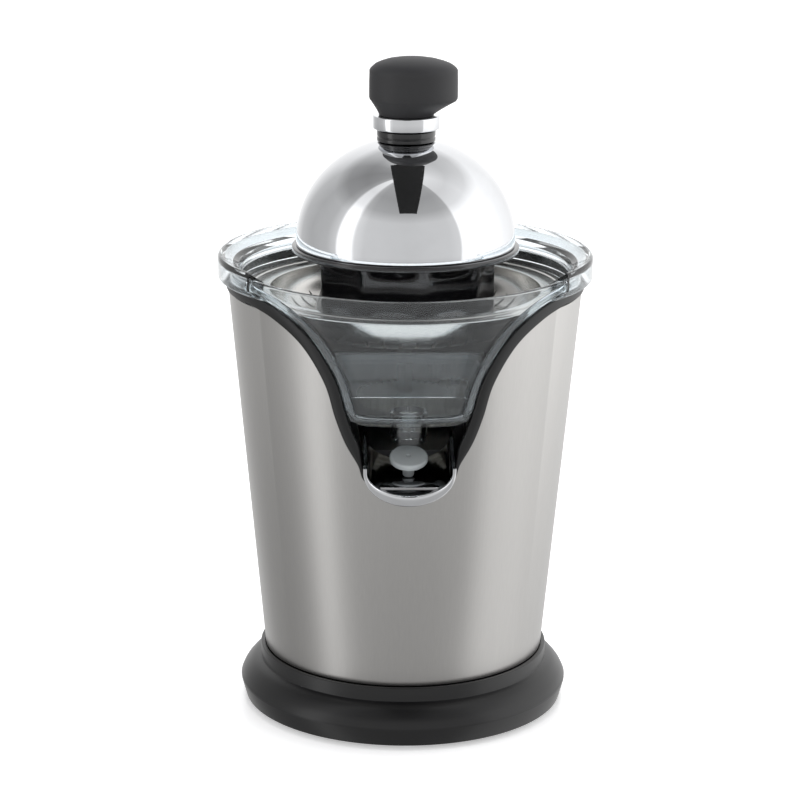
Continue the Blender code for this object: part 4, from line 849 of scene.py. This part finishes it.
@dataclass
class Bowl:
    """The clear bowl: rim, wall, window in the notch, well with its outlet, and the flanges along the
    notch."""

    wall: float = 2.4
    rim_top: float = 249.6
    inner_radius: float = 88.8
    window_top: float = 244.5
    window_bottom: float = 178.5
    gap: float = 0.6
    well_floor: float = 3.6
    well_top: float = 206.0
    outlet_radius: float = 9.75
    nozzle_radius: float = 8.8
    outlet_bore: float = 7.4
    flange_width: float = 4.0
    window_edge: float = 0.7
    well_back: float = -46.0
    outlet_y: float = -73.0

    def rim_outline(self) -> list[Point]:
        """The bowl's closed outline away from the window.

        Returns:
            The outline as (radius, z).
        """
        top = self.rim_top
        return [(97.8, 237.5), (100.0, 237.5), (100.0, top - 1.2), (98.9, top), (97.6, top),
                (self.inner_radius, 243.4), (87.6, 241.4), (87.6, 229.4), (81.0, 229.4), (80.4, 211.7),
                (77.0, 206.7), (71.0, 204.7), (9.0, 204.7), (9.0, 224.7), (6.4, 224.7), (6.4, 202.3),
                (74.9, 202.3), (81.6, 204.9), (83.4, 210.3), (83.4, 226.8), (89.5, 229.8), (89.5, 237.5),
                (92.5, 237.5), (92.5, 243.8), (97.8, 247.0)]

    def window_grid(self) -> bmesh.types.BMesh:
        """The window: a sheet on the body's cone between the notch's sides, thickened inwards.

        Returns:
            The sheet, before it is thickened.
        """
        columns, rows = 48, 56
        half = SHAPE.notch(self.gap, 1.0, 12)
        mesh = bmesh.new()
        bmesh.ops.create_grid(mesh, x_segments=columns, y_segments=rows, size=0.5)
        low, high = self.window_bottom, self.window_top
        for corner in mesh.verts:
            across, share = corner.co.x * 2, corner.co.y + 0.5
            z = low + (high - low) * share
            reach = self.half_width(half, z)
            squeeze = 1.0 - 0.10 * max(1.0 - share * 9.0, 0.0) ** 2
            sag = 1.4 * (1 - across * across) * max(share - 0.75, 0.0) / 0.25
            corner.co = SHAPE.on_cone(across * reach * squeeze, z - sag, -1.0) * MM
        bmesh.ops.recalc_face_normals(mesh, faces=mesh.faces)
        if sum((face.normal.y for face in mesh.faces)) > 0:
            bmesh.ops.reverse_faces(mesh, faces=mesh.faces)
        return mesh

    def half_width(self, half: Sequence[Point], z: float) -> float:
        """Half width of the opening at height z, from its half outline.

        Args:
            half: Half of the opening's outline.
            z: Height.

        Returns:
            The half width.
        """
        if z >= half[0][1]:
            return half[0][0]
        for (xa, za), (xb, zb) in zip(half, half[1:]):
            if zb <= z <= za:
                return xb + (xa - xb) * (z - zb) / max(za - zb, 1e-6)
        return half[-1][0]

    def flange(self) -> bmesh.types.BMesh:
        """The raised edge along the window's sides and foot.

        Returns:
            The edge.
        """
        width = self.flange_width
        half = [point for point in SHAPE.notch(self.gap + width / 2, 1.0,
                                               10) if point[1] > self.window_bottom + 4]
        foot_x, foot_z = half[-1]
        corner = [(foot_x - 1.2, foot_z - 2.4), (foot_x - 4.5, self.window_bottom + 0.8)]
        base = [(foot_x * share, self.window_bottom + 0.2) for share in (0.75, 0.5, 0.25, 0.0)]
        right = [(half[0][0] + 1.0, half[0][1] + 1.8)] + half + corner + base
        path = right + [(-x, z) for x, z in reversed(right[:-1])]
        mesh = bmesh.new()
        profile = [(-0.5, -1.4), (-0.5, 0.3), (-0.36, 0.75), (0.36, 0.75), (0.5, 0.3), (0.5, -1.4)]
        ring: list[bmesh.types.BMVert] = []
        loop: list[bmesh.types.BMEdge] = []
        for index, (x, z) in enumerate(path):
            ahead, behind = path[min(index + 1, len(path) - 1)], path[max(index - 1, 0)]
            along = (SHAPE.on_cone(*ahead) - SHAPE.on_cone(*behind)).normalized()
            middle = SHAPE.on_cone(x, z, -1.0)
            out = Vector((middle.x, middle.y, 0.0)).normalized()
            across = out.cross(along).normalized()
            places = [(middle + across * a * width + out * b) * MM for a, b in profile]
            loop, ring = grown_ring(mesh, loop, ring, places)
        bmesh.ops.edgeloop_fill(mesh, edges=loop)
        return mesh

    def well(self) -> bmesh.types.BMesh:
        """The well behind the window: its floor, sides and back, and the outlet below it.

        Returns:
            The well.
        """
        low = self.window_bottom
        floor = low + self.well_floor
        outer = combined(bare(turned_mesh([(SHAPE.radius(low) - 3.6, low),
                                           (SHAPE.radius(self.well_top) - 3.6, self.well_top),
                                           (0.0, self.well_top), (0.0, low)], 128)),
                         [SHAPE.notch_tool(self.gap + 0.4, 1.0, foot=low, back=self.well_back)], "INTERSECT")
        inner = combined(bare(turned_mesh([(SHAPE.radius(low) + 8, floor),
                                           (SHAPE.radius(self.well_top) + 8, self.well_top + 6.0),
                                           (0.0, self.well_top + 6.0), (0.0, floor)], 128)),
                         [SHAPE.notch_tool(self.gap + self.wall, 1.0, foot=floor,
                                           back=self.well_back - self.wall)],
                         "INTERSECT")
        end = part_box("juice_bowl")[0].z / MM
        outlet = rod_mesh(self.outlet_radius, end + 3.5, low + 1.0, (0.0, self.outlet_y), 64)
        nozzle = rod_mesh(self.nozzle_radius, end, end + 4.5, (0.0, self.outlet_y), 64, 0.6)
        joined = combined(bare(outer), [bare(outlet), bare(nozzle)], "UNION")
        bore = rod_mesh(self.outlet_bore, 150.0, 190.0, (0.0, self.outlet_y), 64)
        return combined(bare(joined), [bare(inner), bare(bore)], "DIFFERENCE")

    def build(self) -> None:
        """Make the four clear pieces that stand for the bowl."""
        rim = combined(bare(turned_mesh(rounded(self.rim_outline(), 0.8), 224)),
                       [SHAPE.notch_tool(self.gap + 1.6, 1.0, back=self.well_back - 1.0)], "DIFFERENCE")
        ring = piece_from(rim, "bowl_rim", "clear", "bowl", 30.0)
        sheet = piece_from(self.window_grid(), "bowl_window", "clear", "bowl", 60.0)
        thick = sheet.modifiers.new("wall", "SOLIDIFY")
        thick.thickness = self.wall * MM
        thick.offset = -1.0
        edge = sheet.modifiers.new("edge", "BEVEL")
        edge.width = self.window_edge * MM
        edge.segments = 3
        edge.limit_method = "ANGLE"
        piece_from(self.well(), "bowl_well", "clear", "bowl", 30.0)
        piece_from(self.flange(), "bowl_flange", "clear", "bowl", 50.0)
        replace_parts(ring, "juice_bowl")


@dataclass
class Strainer:
    """The steel strainer dish: a flange with a pressed groove, a rounded wall with slots, and a floor."""

    slots: int = 48
    edge: float = 86.9
    step: float = 72.5
    floor_radius: float = 58.0
    depth: float = 19.0
    sheet: float = 0.8
    hole: float = 10.2
    slot_half_width: float = 0.9
    slot_stretch: float = 6.2
    slot_middle: float = 63.5

    def wall(self, top: float, offset: float, steps: int = 14) -> list[Point]:
        """The wall moved out by offset, from the step down to the floor.

        Args:
            top: Height of the flange.
            offset: How far the wall moves out.
            steps: Segments of the curve.

        Returns:
            The wall's points as (radius, z).
        """
        width, height = self.step - self.floor_radius + offset, self.depth + offset
        return [(self.floor_radius + width * math.cos(angle), top - height * math.sin(angle))
                for angle in (math.pi / 2 * index / steps for index in range(steps + 1))]

    def build(self) -> None:
        """Turn the dish and cut its slots."""
        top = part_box("strainer")[1].z / MM
        low, floor = top - self.sheet, top - self.depth
        flange = [(self.edge, low), (self.edge, top), (83.6, top), (82.8, top - 0.5), (78.6, top - 0.5),
                  (77.8, top)]
        under = [(77.6, low), (78.4, low - 0.5), (83.0, low - 0.5), (83.8, low)]
        inner, outer = self.wall(top, 0.0), self.wall(top, self.sheet)
        outline = [*flange, *inner, (self.hole, floor), (self.hole, floor - self.sheet),
                   *reversed(outer[1:]),
                   (self.step + self.sheet, low), *under]
        tools = []
        for index in range(self.slots):
            slot = rod_mesh(self.slot_half_width, floor - 6.0, top - 4.2, steps=12)
            bmesh.ops.transform(slot, matrix=Matrix.Diagonal((self.slot_stretch, 1.0, 1.0, 1.0)),
                                verts=slot.verts)
            bmesh.ops.translate(slot, verts=slot.verts, vec=(self.slot_middle * MM, 0.0, 0.0))
            bmesh.ops.rotate(slot, verts=slot.verts, cent=(0, 0, 0),
                             matrix=Matrix.Rotation(2 * math.pi * (index + 0.5) / self.slots, 3, "Z"))
            tools.append(bare(slot))
        dish = combined(bare(turned_mesh(rounded(outline, 0.5), 144)), tools, "DIFFERENCE")
        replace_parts(piece_from(dish, "strainer_dish", "dish_steel", "strainer", 30.0), "strainer")


@dataclass
class Reamer:
    """The black reamer: a skirt of scalloped flutes between ribs, and a ribbed cone."""

    radius: float = 47.65
    ribs: int = 9
    foot: float = 213.0
    shoulder: float = 250.2
    cone_height: float = 44.0

    def reach(self, angle: float, z: float) -> float:
        """Share of the radius that is left at an angle and height.

        Args:
            angle: Angle about the axis.
            z: Height.

        Returns:
            The share.
        """
        wave = 0.5 - 0.5 * math.cos(self.ribs * angle)
        if z < self.shoulder - 1.0:
            scoop = math.sin(math.pi * min(max((z - 222.0) / 27.0, 0.0), 1.0))
            return 1.0 - 0.055 * min(scoop * 2.2, 1.0) * wave ** 0.6
        if z < self.shoulder + 1.5:
            return 1.0
        return 1.0 - 0.16 * wave ** 0.8

    def build(self) -> None:
        """Grow the skirt and cone, and hollow them."""
        levels = [(0.0, self.radius - 0.5, self.radius - 0.5, self.foot),
                  (0.0, self.radius, self.radius, 213.6)]
        levels += [(0.0, self.radius, self.radius, 214.0 + step * 2.0) for step in range(18)]
        levels += [(0.0, self.radius, self.radius, 249.7),
                   (0.0, self.radius - 0.5, self.radius - 0.5, 250.2)]
        levels += [(0.0, 44.5, 44.5, 250.2), (0.0, 40.5, 40.5, 251.0), (0.0, 36.5, 36.5, 251.9)]
        for step in range(1, 15):
            share = step / 15
            radius = 35.4 * math.sqrt(1.0 - share ** 1.5)
            levels.append((0.0, radius, radius, self.shoulder + 2.0 + self.cone_height * share))
        levels.append((0.0, 2.0, 2.0, self.shoulder + 1.8 + self.cone_height))
        cone = lofted_mesh(levels, 216, self.reach)
        hollow = [bare(turned_mesh([(43.0, 205.0), (43.0, 245.0), (15.0, 245.0), (15.0, 205.0)], 96)),
                  bare(rod_mesh(12.0, 205.0, 226.7)), bare(rod_mesh(4.6, 220.0, 239.2, steps=6, edge=0.0))]
        solid = combined(bare(cone), hollow, "DIFFERENCE")
        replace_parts(piece_from(solid, "reamer_fine", "black_gloss", "reamer", 38.0), "reamer")


@dataclass
class Press:
    """The loose press: dome, ring, cup, neck ring, collar and knob."""

    dome_radius: float = 58.4
    dome_foot: float = 253.8
    dome_height: float = 57.0
    knob_foot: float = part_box("press_knob")[0][2] / MM
    knob_height: float = 30.3

    def dome_line(self, offset: float, hole: float, steps: int) -> list[Point]:
        """Points of the dome shrunk by offset, from its foot to the hole at its top.

        Args:
            offset: How far it shrinks.
            hole: Radius of the hole.
            steps: Segments of the curve.

        Returns:
            The points as (radius, z).
        """
        outer = self.dome_radius - offset
        last = math.acos(hole / outer)
        line = [(outer, self.dome_foot)]
        for index in range(steps + 1):
            angle = last * index / steps
            line.append((outer * math.cos(angle),
                         self.dome_foot + 2.5 + (self.dome_height - 2.5 - offset) * math.sin(angle)))
        return line

    def shell(self, offset: float, wall: float, steps: int) -> bmesh.types.BMesh:
        """A dome shell of a wall thickness.

        Args:
            offset: How far inside the dome's outer face.
            wall: The wall's thickness.
            steps: Segments of its curve.

        Returns:
            The shell.
        """
        outer, inner = self.dome_line(offset, 2.9, steps), self.dome_line(offset + wall, 2.9, steps)
        return turned_mesh(rounded(outer + list(reversed(inner)), 0.4, 2), 192)

    def knob(self) -> bmesh.types.BMesh:
        """The knob: a short round neck, a chamfer, upright sides and a low crown, leaning out to one side.

        Returns:
            The knob.
        """
        levels = []
        marks = ((0.0, 0.0, 0.0), (0.02, 0.02, 0.0), (0.10, 0.30, 0.0), (0.18, 0.62, 0.0),
                 (0.245, 0.90, 0.0),
                 (0.275, 0.975, 0.0), (0.31, 1.0, 0.0), (0.45, 1.0, 0.0), (0.60, 0.998, 0.0),
                 (0.72, 0.985, 0.0),
                 (0.77, 0.97, 0.10), (0.80, 0.95, 0.22), (0.84, 0.90, 0.38), (0.88, 0.84, 0.52),
                 (0.92, 0.78, 0.68),
                 (0.96, 0.72, 0.83), (0.985, 0.70, 0.93), (1.0, 0.70, 0.985))
        for share, flare, crown in marks:
            shrink = math.sqrt(max(1.0 - crown * crown, 0.0))
            grown = 1.0 if crown else flare
            levels.append((3.7 * min(flare / 0.9, 1.0), (14.5 + 8.9 * grown) * shrink,
                           (14.5 + 6.0 * grown) * shrink,
                           self.knob_foot + self.knob_height * share))
        return lofted_mesh(levels, 96)

    def build(self) -> None:
        """Make the press's pieces."""
        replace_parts(piece_from(self.shell(0.0, 1.2, 40), "dome", "chrome", "press", 40.0), "press_dome")
        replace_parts(piece_from(self.shell(2.5, 2.0, 24), "cup", "black_gloss", "press", 40.0), "press_cup")
        ring = rounded([(60.7, 250.5), (60.7, 253.2), (59.4, 253.5), (45.0, 253.5), (45.0, 250.5)], 0.7)
        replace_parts(piece_from(turned_mesh(ring, 192), "dome_ring", "black_gloss", "press", 40.0),
                    "press_flange")
        seat = [(radius, self.dome_foot + 2.9 + 54.5 * math.sqrt(1 - (radius / self.dome_radius) ** 2))
                for radius in (2.9, 6.0, 10.0, 13.0, 15.0)]
        neck = seat + [(15.6, 309.6), (15.6, 311.2), (15.0, 311.7), (15.6, 312.2), (15.6, 315.0),
                       (2.9, 315.0)]
        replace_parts(piece_from(turned_mesh(rounded(neck, 0.5), 128), "neck_ring", "black_gloss", "press",
                               40.0),
                    "press_neck_ring")
        collar = rounded([(17.7, 315.9), (17.7, 322.9), (2.9, 322.9), (2.9, 315.9)], 0.7)
        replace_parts(piece_from(turned_mesh(collar, 128), "collar", "chrome", "press", 40.0), "press_collar")
        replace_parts(piece_from(self.knob(), "knob", "soft_grey", "press", 50.0), "press_knob")


@dataclass
class Spout:
    """The tilting spout with its rolled lip, and the plug that closes the outlet."""

    half_width: float = 23.2
    depth: float = 15.5
    wall: float = 1.5
    reach: float = 36.0
    back: float = 5.0
    floor: float = 2.6
    lip: float = 4.2
    lip_proud: float = 0.5
    lip_length: float = 3.0
    slope: float = 12.5
    opened: float = 20.0
    plug_radius: float = 9.9
    plug_reach: float = -13.0
    barrel_radius: float = 3.2
    barrel_half: float = 29.4
    stem_radius: float = 3.0
    stem_foot: float = 7.2

    def hinge(self) -> Vector:
        """The hinge's point from the frame's joint, in metres.

        Returns:
            The point.
        """
        joint = next(j for j in frame["joints"] if j["name"] == "spout_tilt")
        return Vector(joint["pos_m"])

    def place(self, turn: float) -> Matrix:
        """Return the hinge's frame, turned about X by an angle in degrees."""
        return Matrix.Translation(self.hinge()) @ Matrix.Rotation(math.radians(turn), 4, "X")

    def section(self, offset: float, sag: float = 0.0, steps: int = 48) -> list[Point]:
        """The U of the trough shrunk by offset, from its right edge to its left.

        Args:
            offset: How far it shrinks.
            sag: How much further it hangs in the middle.
            steps: Segments of the curve.

        Returns:
            The points as (x, z) in the hinge's frame.
        """
        half, deep = self.half_width - offset, self.depth - offset + sag
        middle = self.floor + self.depth
        arc = [(half * math.cos(angle), middle + deep * math.sin(angle))
               for angle in (-math.pi * index / steps for index in range(steps + 1))]
        return [(half, middle + 2.5)] + arc + [(-half, middle + 2.5)]

    def channel(self, y_low: float, y_high: float, proud: float, sag: float) -> bmesh.types.BMesh:
        """A stretch of channel with rounded ends, between the inner U and an outer one.

        Args:
            y_low: Front end in the hinge's frame.
            y_high: Rear end.
            proud: How far the outer U stands out past the trough.
            sag: How much further it hangs at its lowest point.

        Returns:
            The channel.
        """
        outer, inner = self.section(-proud, sag), self.section(self.wall)
        mesh = bmesh.new()
        loop: list[bmesh.types.BMEdge] = []
        ring: list[bmesh.types.BMVert] = []
        edge = min(1.0, (y_high - y_low) / 2.5)
        ends = [(y_low, 0.45), (y_low + edge * 0.3, 0.18), (y_low + edge, 0.0),
                (y_high - edge, 0.0), (y_high - edge * 0.3, 0.18), (y_high, 0.45)]
        for y, pinch in ends:
            thick = [((1 - pinch) * xo + pinch * (xo + xi) / 2, (1 - pinch) * zo + pinch * (zo + zi) / 2)
                     for (xo, zo), (xi, zi) in zip(outer, inner)]
            thin = [((1 - pinch) * xi + pinch * (xo + xi) / 2, (1 - pinch) * zi + pinch * (zo + zi) / 2)
                    for (xo, zo), (xi, zi) in zip(outer, inner)]
            places = [Vector((x, y, z)) * MM for x, z in thick + list(reversed(thin))]
            loop, ring = grown_ring(mesh, loop, ring, places)
        bmesh.ops.edgeloop_fill(mesh, edges=loop)
        bmesh.ops.transform(mesh, matrix=self.place(self.slope), verts=mesh.verts)
        return mesh

    def slab(self, corners: Sequence[tuple[float, float, float]], thickness: float) -> bmesh.types.BMesh:
        """A flat plate from corners in the hinge's frame, with a thickness below it.

        Args:
            corners: The upper face's corners.
            thickness: How far it goes down.

        Returns:
            The plate.
        """
        mesh = bmesh.new()
        face = mesh.faces.new([mesh.verts.new(Vector(corner) * MM) for corner in corners])
        grown = bmesh.ops.extrude_face_region(mesh, geom=[face])["geom"]
        bmesh.ops.translate(mesh, verts=[part for part in grown if isinstance(part, bmesh.types.BMVert)],
                            vec=(0.0, 0.0, -thickness * MM))
        bmesh.ops.bevel(mesh, geom=list(mesh.edges), offset=0.35 * MM, segments=2, affect="EDGES",
                        profile=0.5,
                        material=-1)
        bmesh.ops.transform(mesh, matrix=self.place(self.slope), verts=mesh.verts)
        return mesh

    def build(self) -> None:
        """Make the trough, its lip and floor step, its barrel and the plug."""
        # The trough, step and barrel take the darker chrome copy, painted shade. The lip takes the bright chrome.
        trough = piece_from(self.channel(-self.reach + 1.2, self.back, 0.0, 0.0), "trough", "spout_chrome_painted_shade",
                            "spout")
        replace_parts(trough, "spout_trough")
        piece_from(self.channel(-self.reach, -self.reach + self.lip_length, self.lip_proud, self.lip),
                   "trough_lip",
                   "chrome", "spout", 50.0)
        low = self.floor + self.wall
        step = [(-17.0, -33.0, low + 4.0), (17.0, -33.0, low + 4.0), (11.5, -25.0, low + 4.8),
                (-11.5, -25.0, low + 4.8)]
        piece_from(self.slab(step, 1.6), "trough_step", "spout_chrome_painted_shade", "spout", 50.0)
        barrel = rod_mesh(self.barrel_radius, -self.barrel_half, self.barrel_half, steps=48)
        bmesh.ops.transform(barrel, matrix=Matrix.Translation(self.hinge()) @ Matrix.Rotation(math.pi / 2,
                                                                                              4, "Y"),
                            verts=barrel.verts)
        piece_from(barrel, "trough_barrel", "spout_chrome_painted_shade", "spout")
        self.plug()

    def plug(self) -> None:
        """The plug: a soft disc with a dimple, on a stem."""
        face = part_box("juice_bowl")[0].z / MM - self.hinge().z / MM - 0.3
        disc = rounded([(0.0, face - 3.0), (self.plug_radius, face - 3.0), (self.plug_radius, face - 0.9),
                        (9.2, face), (1.3, face - 0.1), (0.7, face - 0.7), (0.0, face - 0.8)], 0.6)
        plug = turned_mesh(disc, 64)
        stem = rod_mesh(self.stem_radius, self.stem_foot, face - 2.8, steps=32)
        for mesh, name in ((plug, "plug"), (stem, "plug_stem")):
            bmesh.ops.translate(mesh, verts=mesh.verts, vec=(0.0, self.plug_reach * MM, 0.0))
            bmesh.ops.transform(mesh, matrix=self.place(self.opened), verts=mesh.verts)
            piece = piece_from(mesh, name, "silicone", "spout", 40.0)
            if name == "plug":
                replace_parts(piece, "spout_plug")


@dataclass
class CarriedOver:
    """The solids that keep their own shape and only get a finish."""

    def build(self) -> None:
        """Dress every remaining node by its slot."""
        slots = {part["node"]: part["material_slot"] for part in frame["record"]["subparts"]}
        for name, node in frame["nodes"].items():
            finish = "tub" if name == "inner_housing" else slots[name]
            node.data.materials.clear()
            node.data.materials.append(PAINT.get(finish))


@dataclass(frozen=True)
class Band:
    """A stretch of the surroundings that the object mirrors: its direction and how bright it is."""

    angle: float
    brightness: float


@dataclass
class Studio:
    """White seamless floor and backdrop, soft surroundings to mirror, an overhead softbox and the camera.

    Azimuth 0 is towards the camera and 90 is to its right.
    """

    lens: float = 120.9
    pitch: float = 15.11
    heading: float = 1.6
    roll: float = 0.341
    sensor: float = 36.0
    camera_place: tuple[float, float, float] = (-0.0417, -1.4047, 0.5467)
    floor_reach: float = 6.0
    softbox_size: tuple[float, float] = (0.9, 0.8)
    softbox_place: tuple[float, float, float] = (0.0, 0.05, 1.9)
    softbox_power: float = 22.0
    peak: float = 1.7
    card_size: tuple[float, float, float] = (0.44, 1.40, 1.0)
    card_place: tuple[float, float, float] = (0.03, -0.40, 1.30)
    bands: tuple = (Band(-180, 1.15), Band(-160, 0.95), Band(-140, 0.58), Band(-118, 0.48), Band(-92, 0.54),
                    Band(-80, 0.72), Band(-76, 1.55), Band(-62, 1.60), Band(-57, 0.84), Band(-46, 0.70),
                    Band(0, 0.66), Band(46, 0.70), Band(58, 0.78), Band(60, 1.36), Band(96, 1.46),
                    Band(126, 1.20),
                    Band(150, 1.05), Band(180, 1.15))
    heights: tuple = (Band(-90, 0.60), Band(-34, 0.66), Band(-20, 0.80), Band(-8, 1.0), Band(32, 1.0),
                      Band(44, 0.66), Band(60, 0.55), Band(90, 0.70))

    def build(self) -> None:
        """Set up the floor, world, light and camera."""
        self.floor()
        self.world()
        self.overhead()
        self.card()
        self.camera()

    def floor(self) -> None:
        """A wide pale floor with a faint gloss, which the object doesn't mirror."""
        mesh = bmesh.new()
        bmesh.ops.create_grid(mesh, x_segments=1, y_segments=1, size=self.floor_reach)
        thing = bare(mesh, "floor")
        material = bpy.data.materials.new("floor_white")
        material.use_nodes = True
        shader = material.node_tree.nodes["Principled BSDF"]
        shader.inputs["Base Color"].default_value = (0.93, 0.93, 0.94, 1.0)
        shader.inputs["Roughness"].default_value = 0.30
        shader.inputs["Specular IOR Level"].default_value = 0.30
        shader.inputs["Emission Color"].default_value = (1.0, 1.0, 1.0, 1.0)
        shader.inputs["Emission Strength"].default_value = 0.42
        thing.data.materials.append(material)
        thing.visible_glossy = False

    def ramp(self, tree: bpy.types.NodeTree, value: bpy.types.NodeSocket, bands: Sequence[Band], low: float,
             high: float, peak: float) -> bpy.types.NodeSocket:
        """A colour ramp through bands.

        Args:
            tree: The world's tree.
            value: The angle in radians.
            bands: The ramp's stops.
            low: Angle in degrees at the ramp's start.
            high: Angle in degrees at its end.
            peak: Brightness that stands for the ramp's white.

        Returns:
            The ramp's colour.
        """
        share = add(tree, "MapRange", Value=value, From_Min=math.radians(low), From_Max=math.radians(high))
        node = add(tree, "ValToRGB", Fac=share.outputs["Result"])
        stops = node.color_ramp.elements
        for index, band in enumerate(bands):
            at = (band.angle - low) / (high - low)
            stop = stops[index] if index < 2 else stops.new(at)
            stop.position = at
            level = band.brightness / peak
            stop.color = (level, level, level, 1.0)
        return node.outputs["Color"]

    def world(self) -> None:
        """White for the camera, and bands of grey and white for everything else."""
        world = bpy.data.worlds.new("studio")
        bpy.context.scene.world = world
        world.use_nodes = True
        tree = world.node_tree
        tree.nodes.clear()
        way = add(tree, "SeparateXYZ", Vector=tree.nodes.new("ShaderNodeTexCoord").outputs["Generated"])
        ahead = math_node(tree, "MULTIPLY", way.outputs["Y"], -1.0)
        azimuth = math_node(tree, "ARCTAN2", way.outputs["X"], ahead)
        elevation = math_node(tree, "ARCSINE", way.outputs["Z"], 0.0)
        around = self.ramp(tree, azimuth, self.bands, -180, 180, self.peak)
        upward = self.ramp(tree, elevation, self.heights, -90, 90, 1.0)
        both = add(tree, "VectorMath", {"operation": "MULTIPLY"})
        tree.links.new(around, both.inputs[0])
        tree.links.new(upward, both.inputs[1])
        lit = add(tree, "Background", Color=both.outputs["Vector"], Strength=self.peak)
        seen = add(tree, "Background", Color=(1.0, 1.0, 1.0, 1.0), Strength=1.15)
        ray = tree.nodes.new("ShaderNodeLightPath")
        mix = tree.nodes.new("ShaderNodeMixShader")
        tree.links.new(ray.outputs["Is Camera Ray"], mix.inputs[0])
        tree.links.new(lit.outputs[0], mix.inputs[1])
        tree.links.new(seen.outputs[0], mix.inputs[2])
        output = tree.nodes.new("ShaderNodeOutputWorld")
        tree.links.new(mix.outputs[0], output.inputs[0])

    def overhead(self) -> None:
        """A softbox straight above."""
        data = bpy.data.lights.new("overhead", "AREA")
        data.shape = "RECTANGLE"
        data.size, data.size_y = self.softbox_size
        data.energy = self.softbox_power
        lamp = bpy.data.objects.new("overhead", data)
        lamp.location = self.softbox_place
        lamp.visible_glossy = False
        bpy.context.scene.collection.objects.link(lamp)

    def card(self) -> None:
        """A dark card overhead, seen only in what mirrors it."""
        mesh = bmesh.new()
        bmesh.ops.create_grid(mesh, x_segments=1, y_segments=1, size=0.5)
        bmesh.ops.scale(mesh, vec=self.card_size, verts=mesh.verts)
        bmesh.ops.translate(mesh, vec=self.card_place, verts=mesh.verts)
        thing = bare(mesh, "dark_card")
        material = bpy.data.materials.new("card_black")
        material.use_nodes = True
        material.node_tree.nodes["Principled BSDF"].inputs["Base Color"].default_value = (0.004, 0.004,
                                                                                          0.004, 1.0)
        thing.data.materials.append(material)
        thing.visible_camera = False
        thing.visible_diffuse = False
        thing.visible_transmission = False
        thing.visible_shadow = False

    def camera(self) -> None:
        """The camera, a little left of the middle and above the rim, looking slightly down."""
        data = bpy.data.cameras.new("camera")
        data.lens = self.lens
        data.sensor_width = self.sensor
        camera = bpy.data.objects.new("camera", data)
        bpy.context.scene.collection.objects.link(camera)
        pitch, heading = math.radians(self.pitch), math.radians(self.heading)
        look = Vector((math.sin(heading) * math.cos(pitch), math.cos(heading) * math.cos(pitch),
                       -math.sin(pitch)))
        turn = look.to_track_quat("-Z", "Y").to_matrix().to_4x4()
        camera.matrix_world = (Matrix.Translation(self.camera_place) @ turn
                               @ Matrix.Rotation(math.radians(self.roll), 4, "Z"))
        bpy.context.scene.camera = camera


def main() -> None:
    """Build every part of the picture."""
    logging.basicConfig(level=logging.INFO, format="%(name)s: %(message)s")
    scene = bpy.context.scene
    scene.view_settings.view_transform = "Standard"
    Studio().build()
    for part in (CarriedOver(), Base(), Sleeve(), Trim(), Bowl(), Strainer(), Reamer(), Press(), Spout()):
        part.build()


if __name__ == "__main__":
    main()
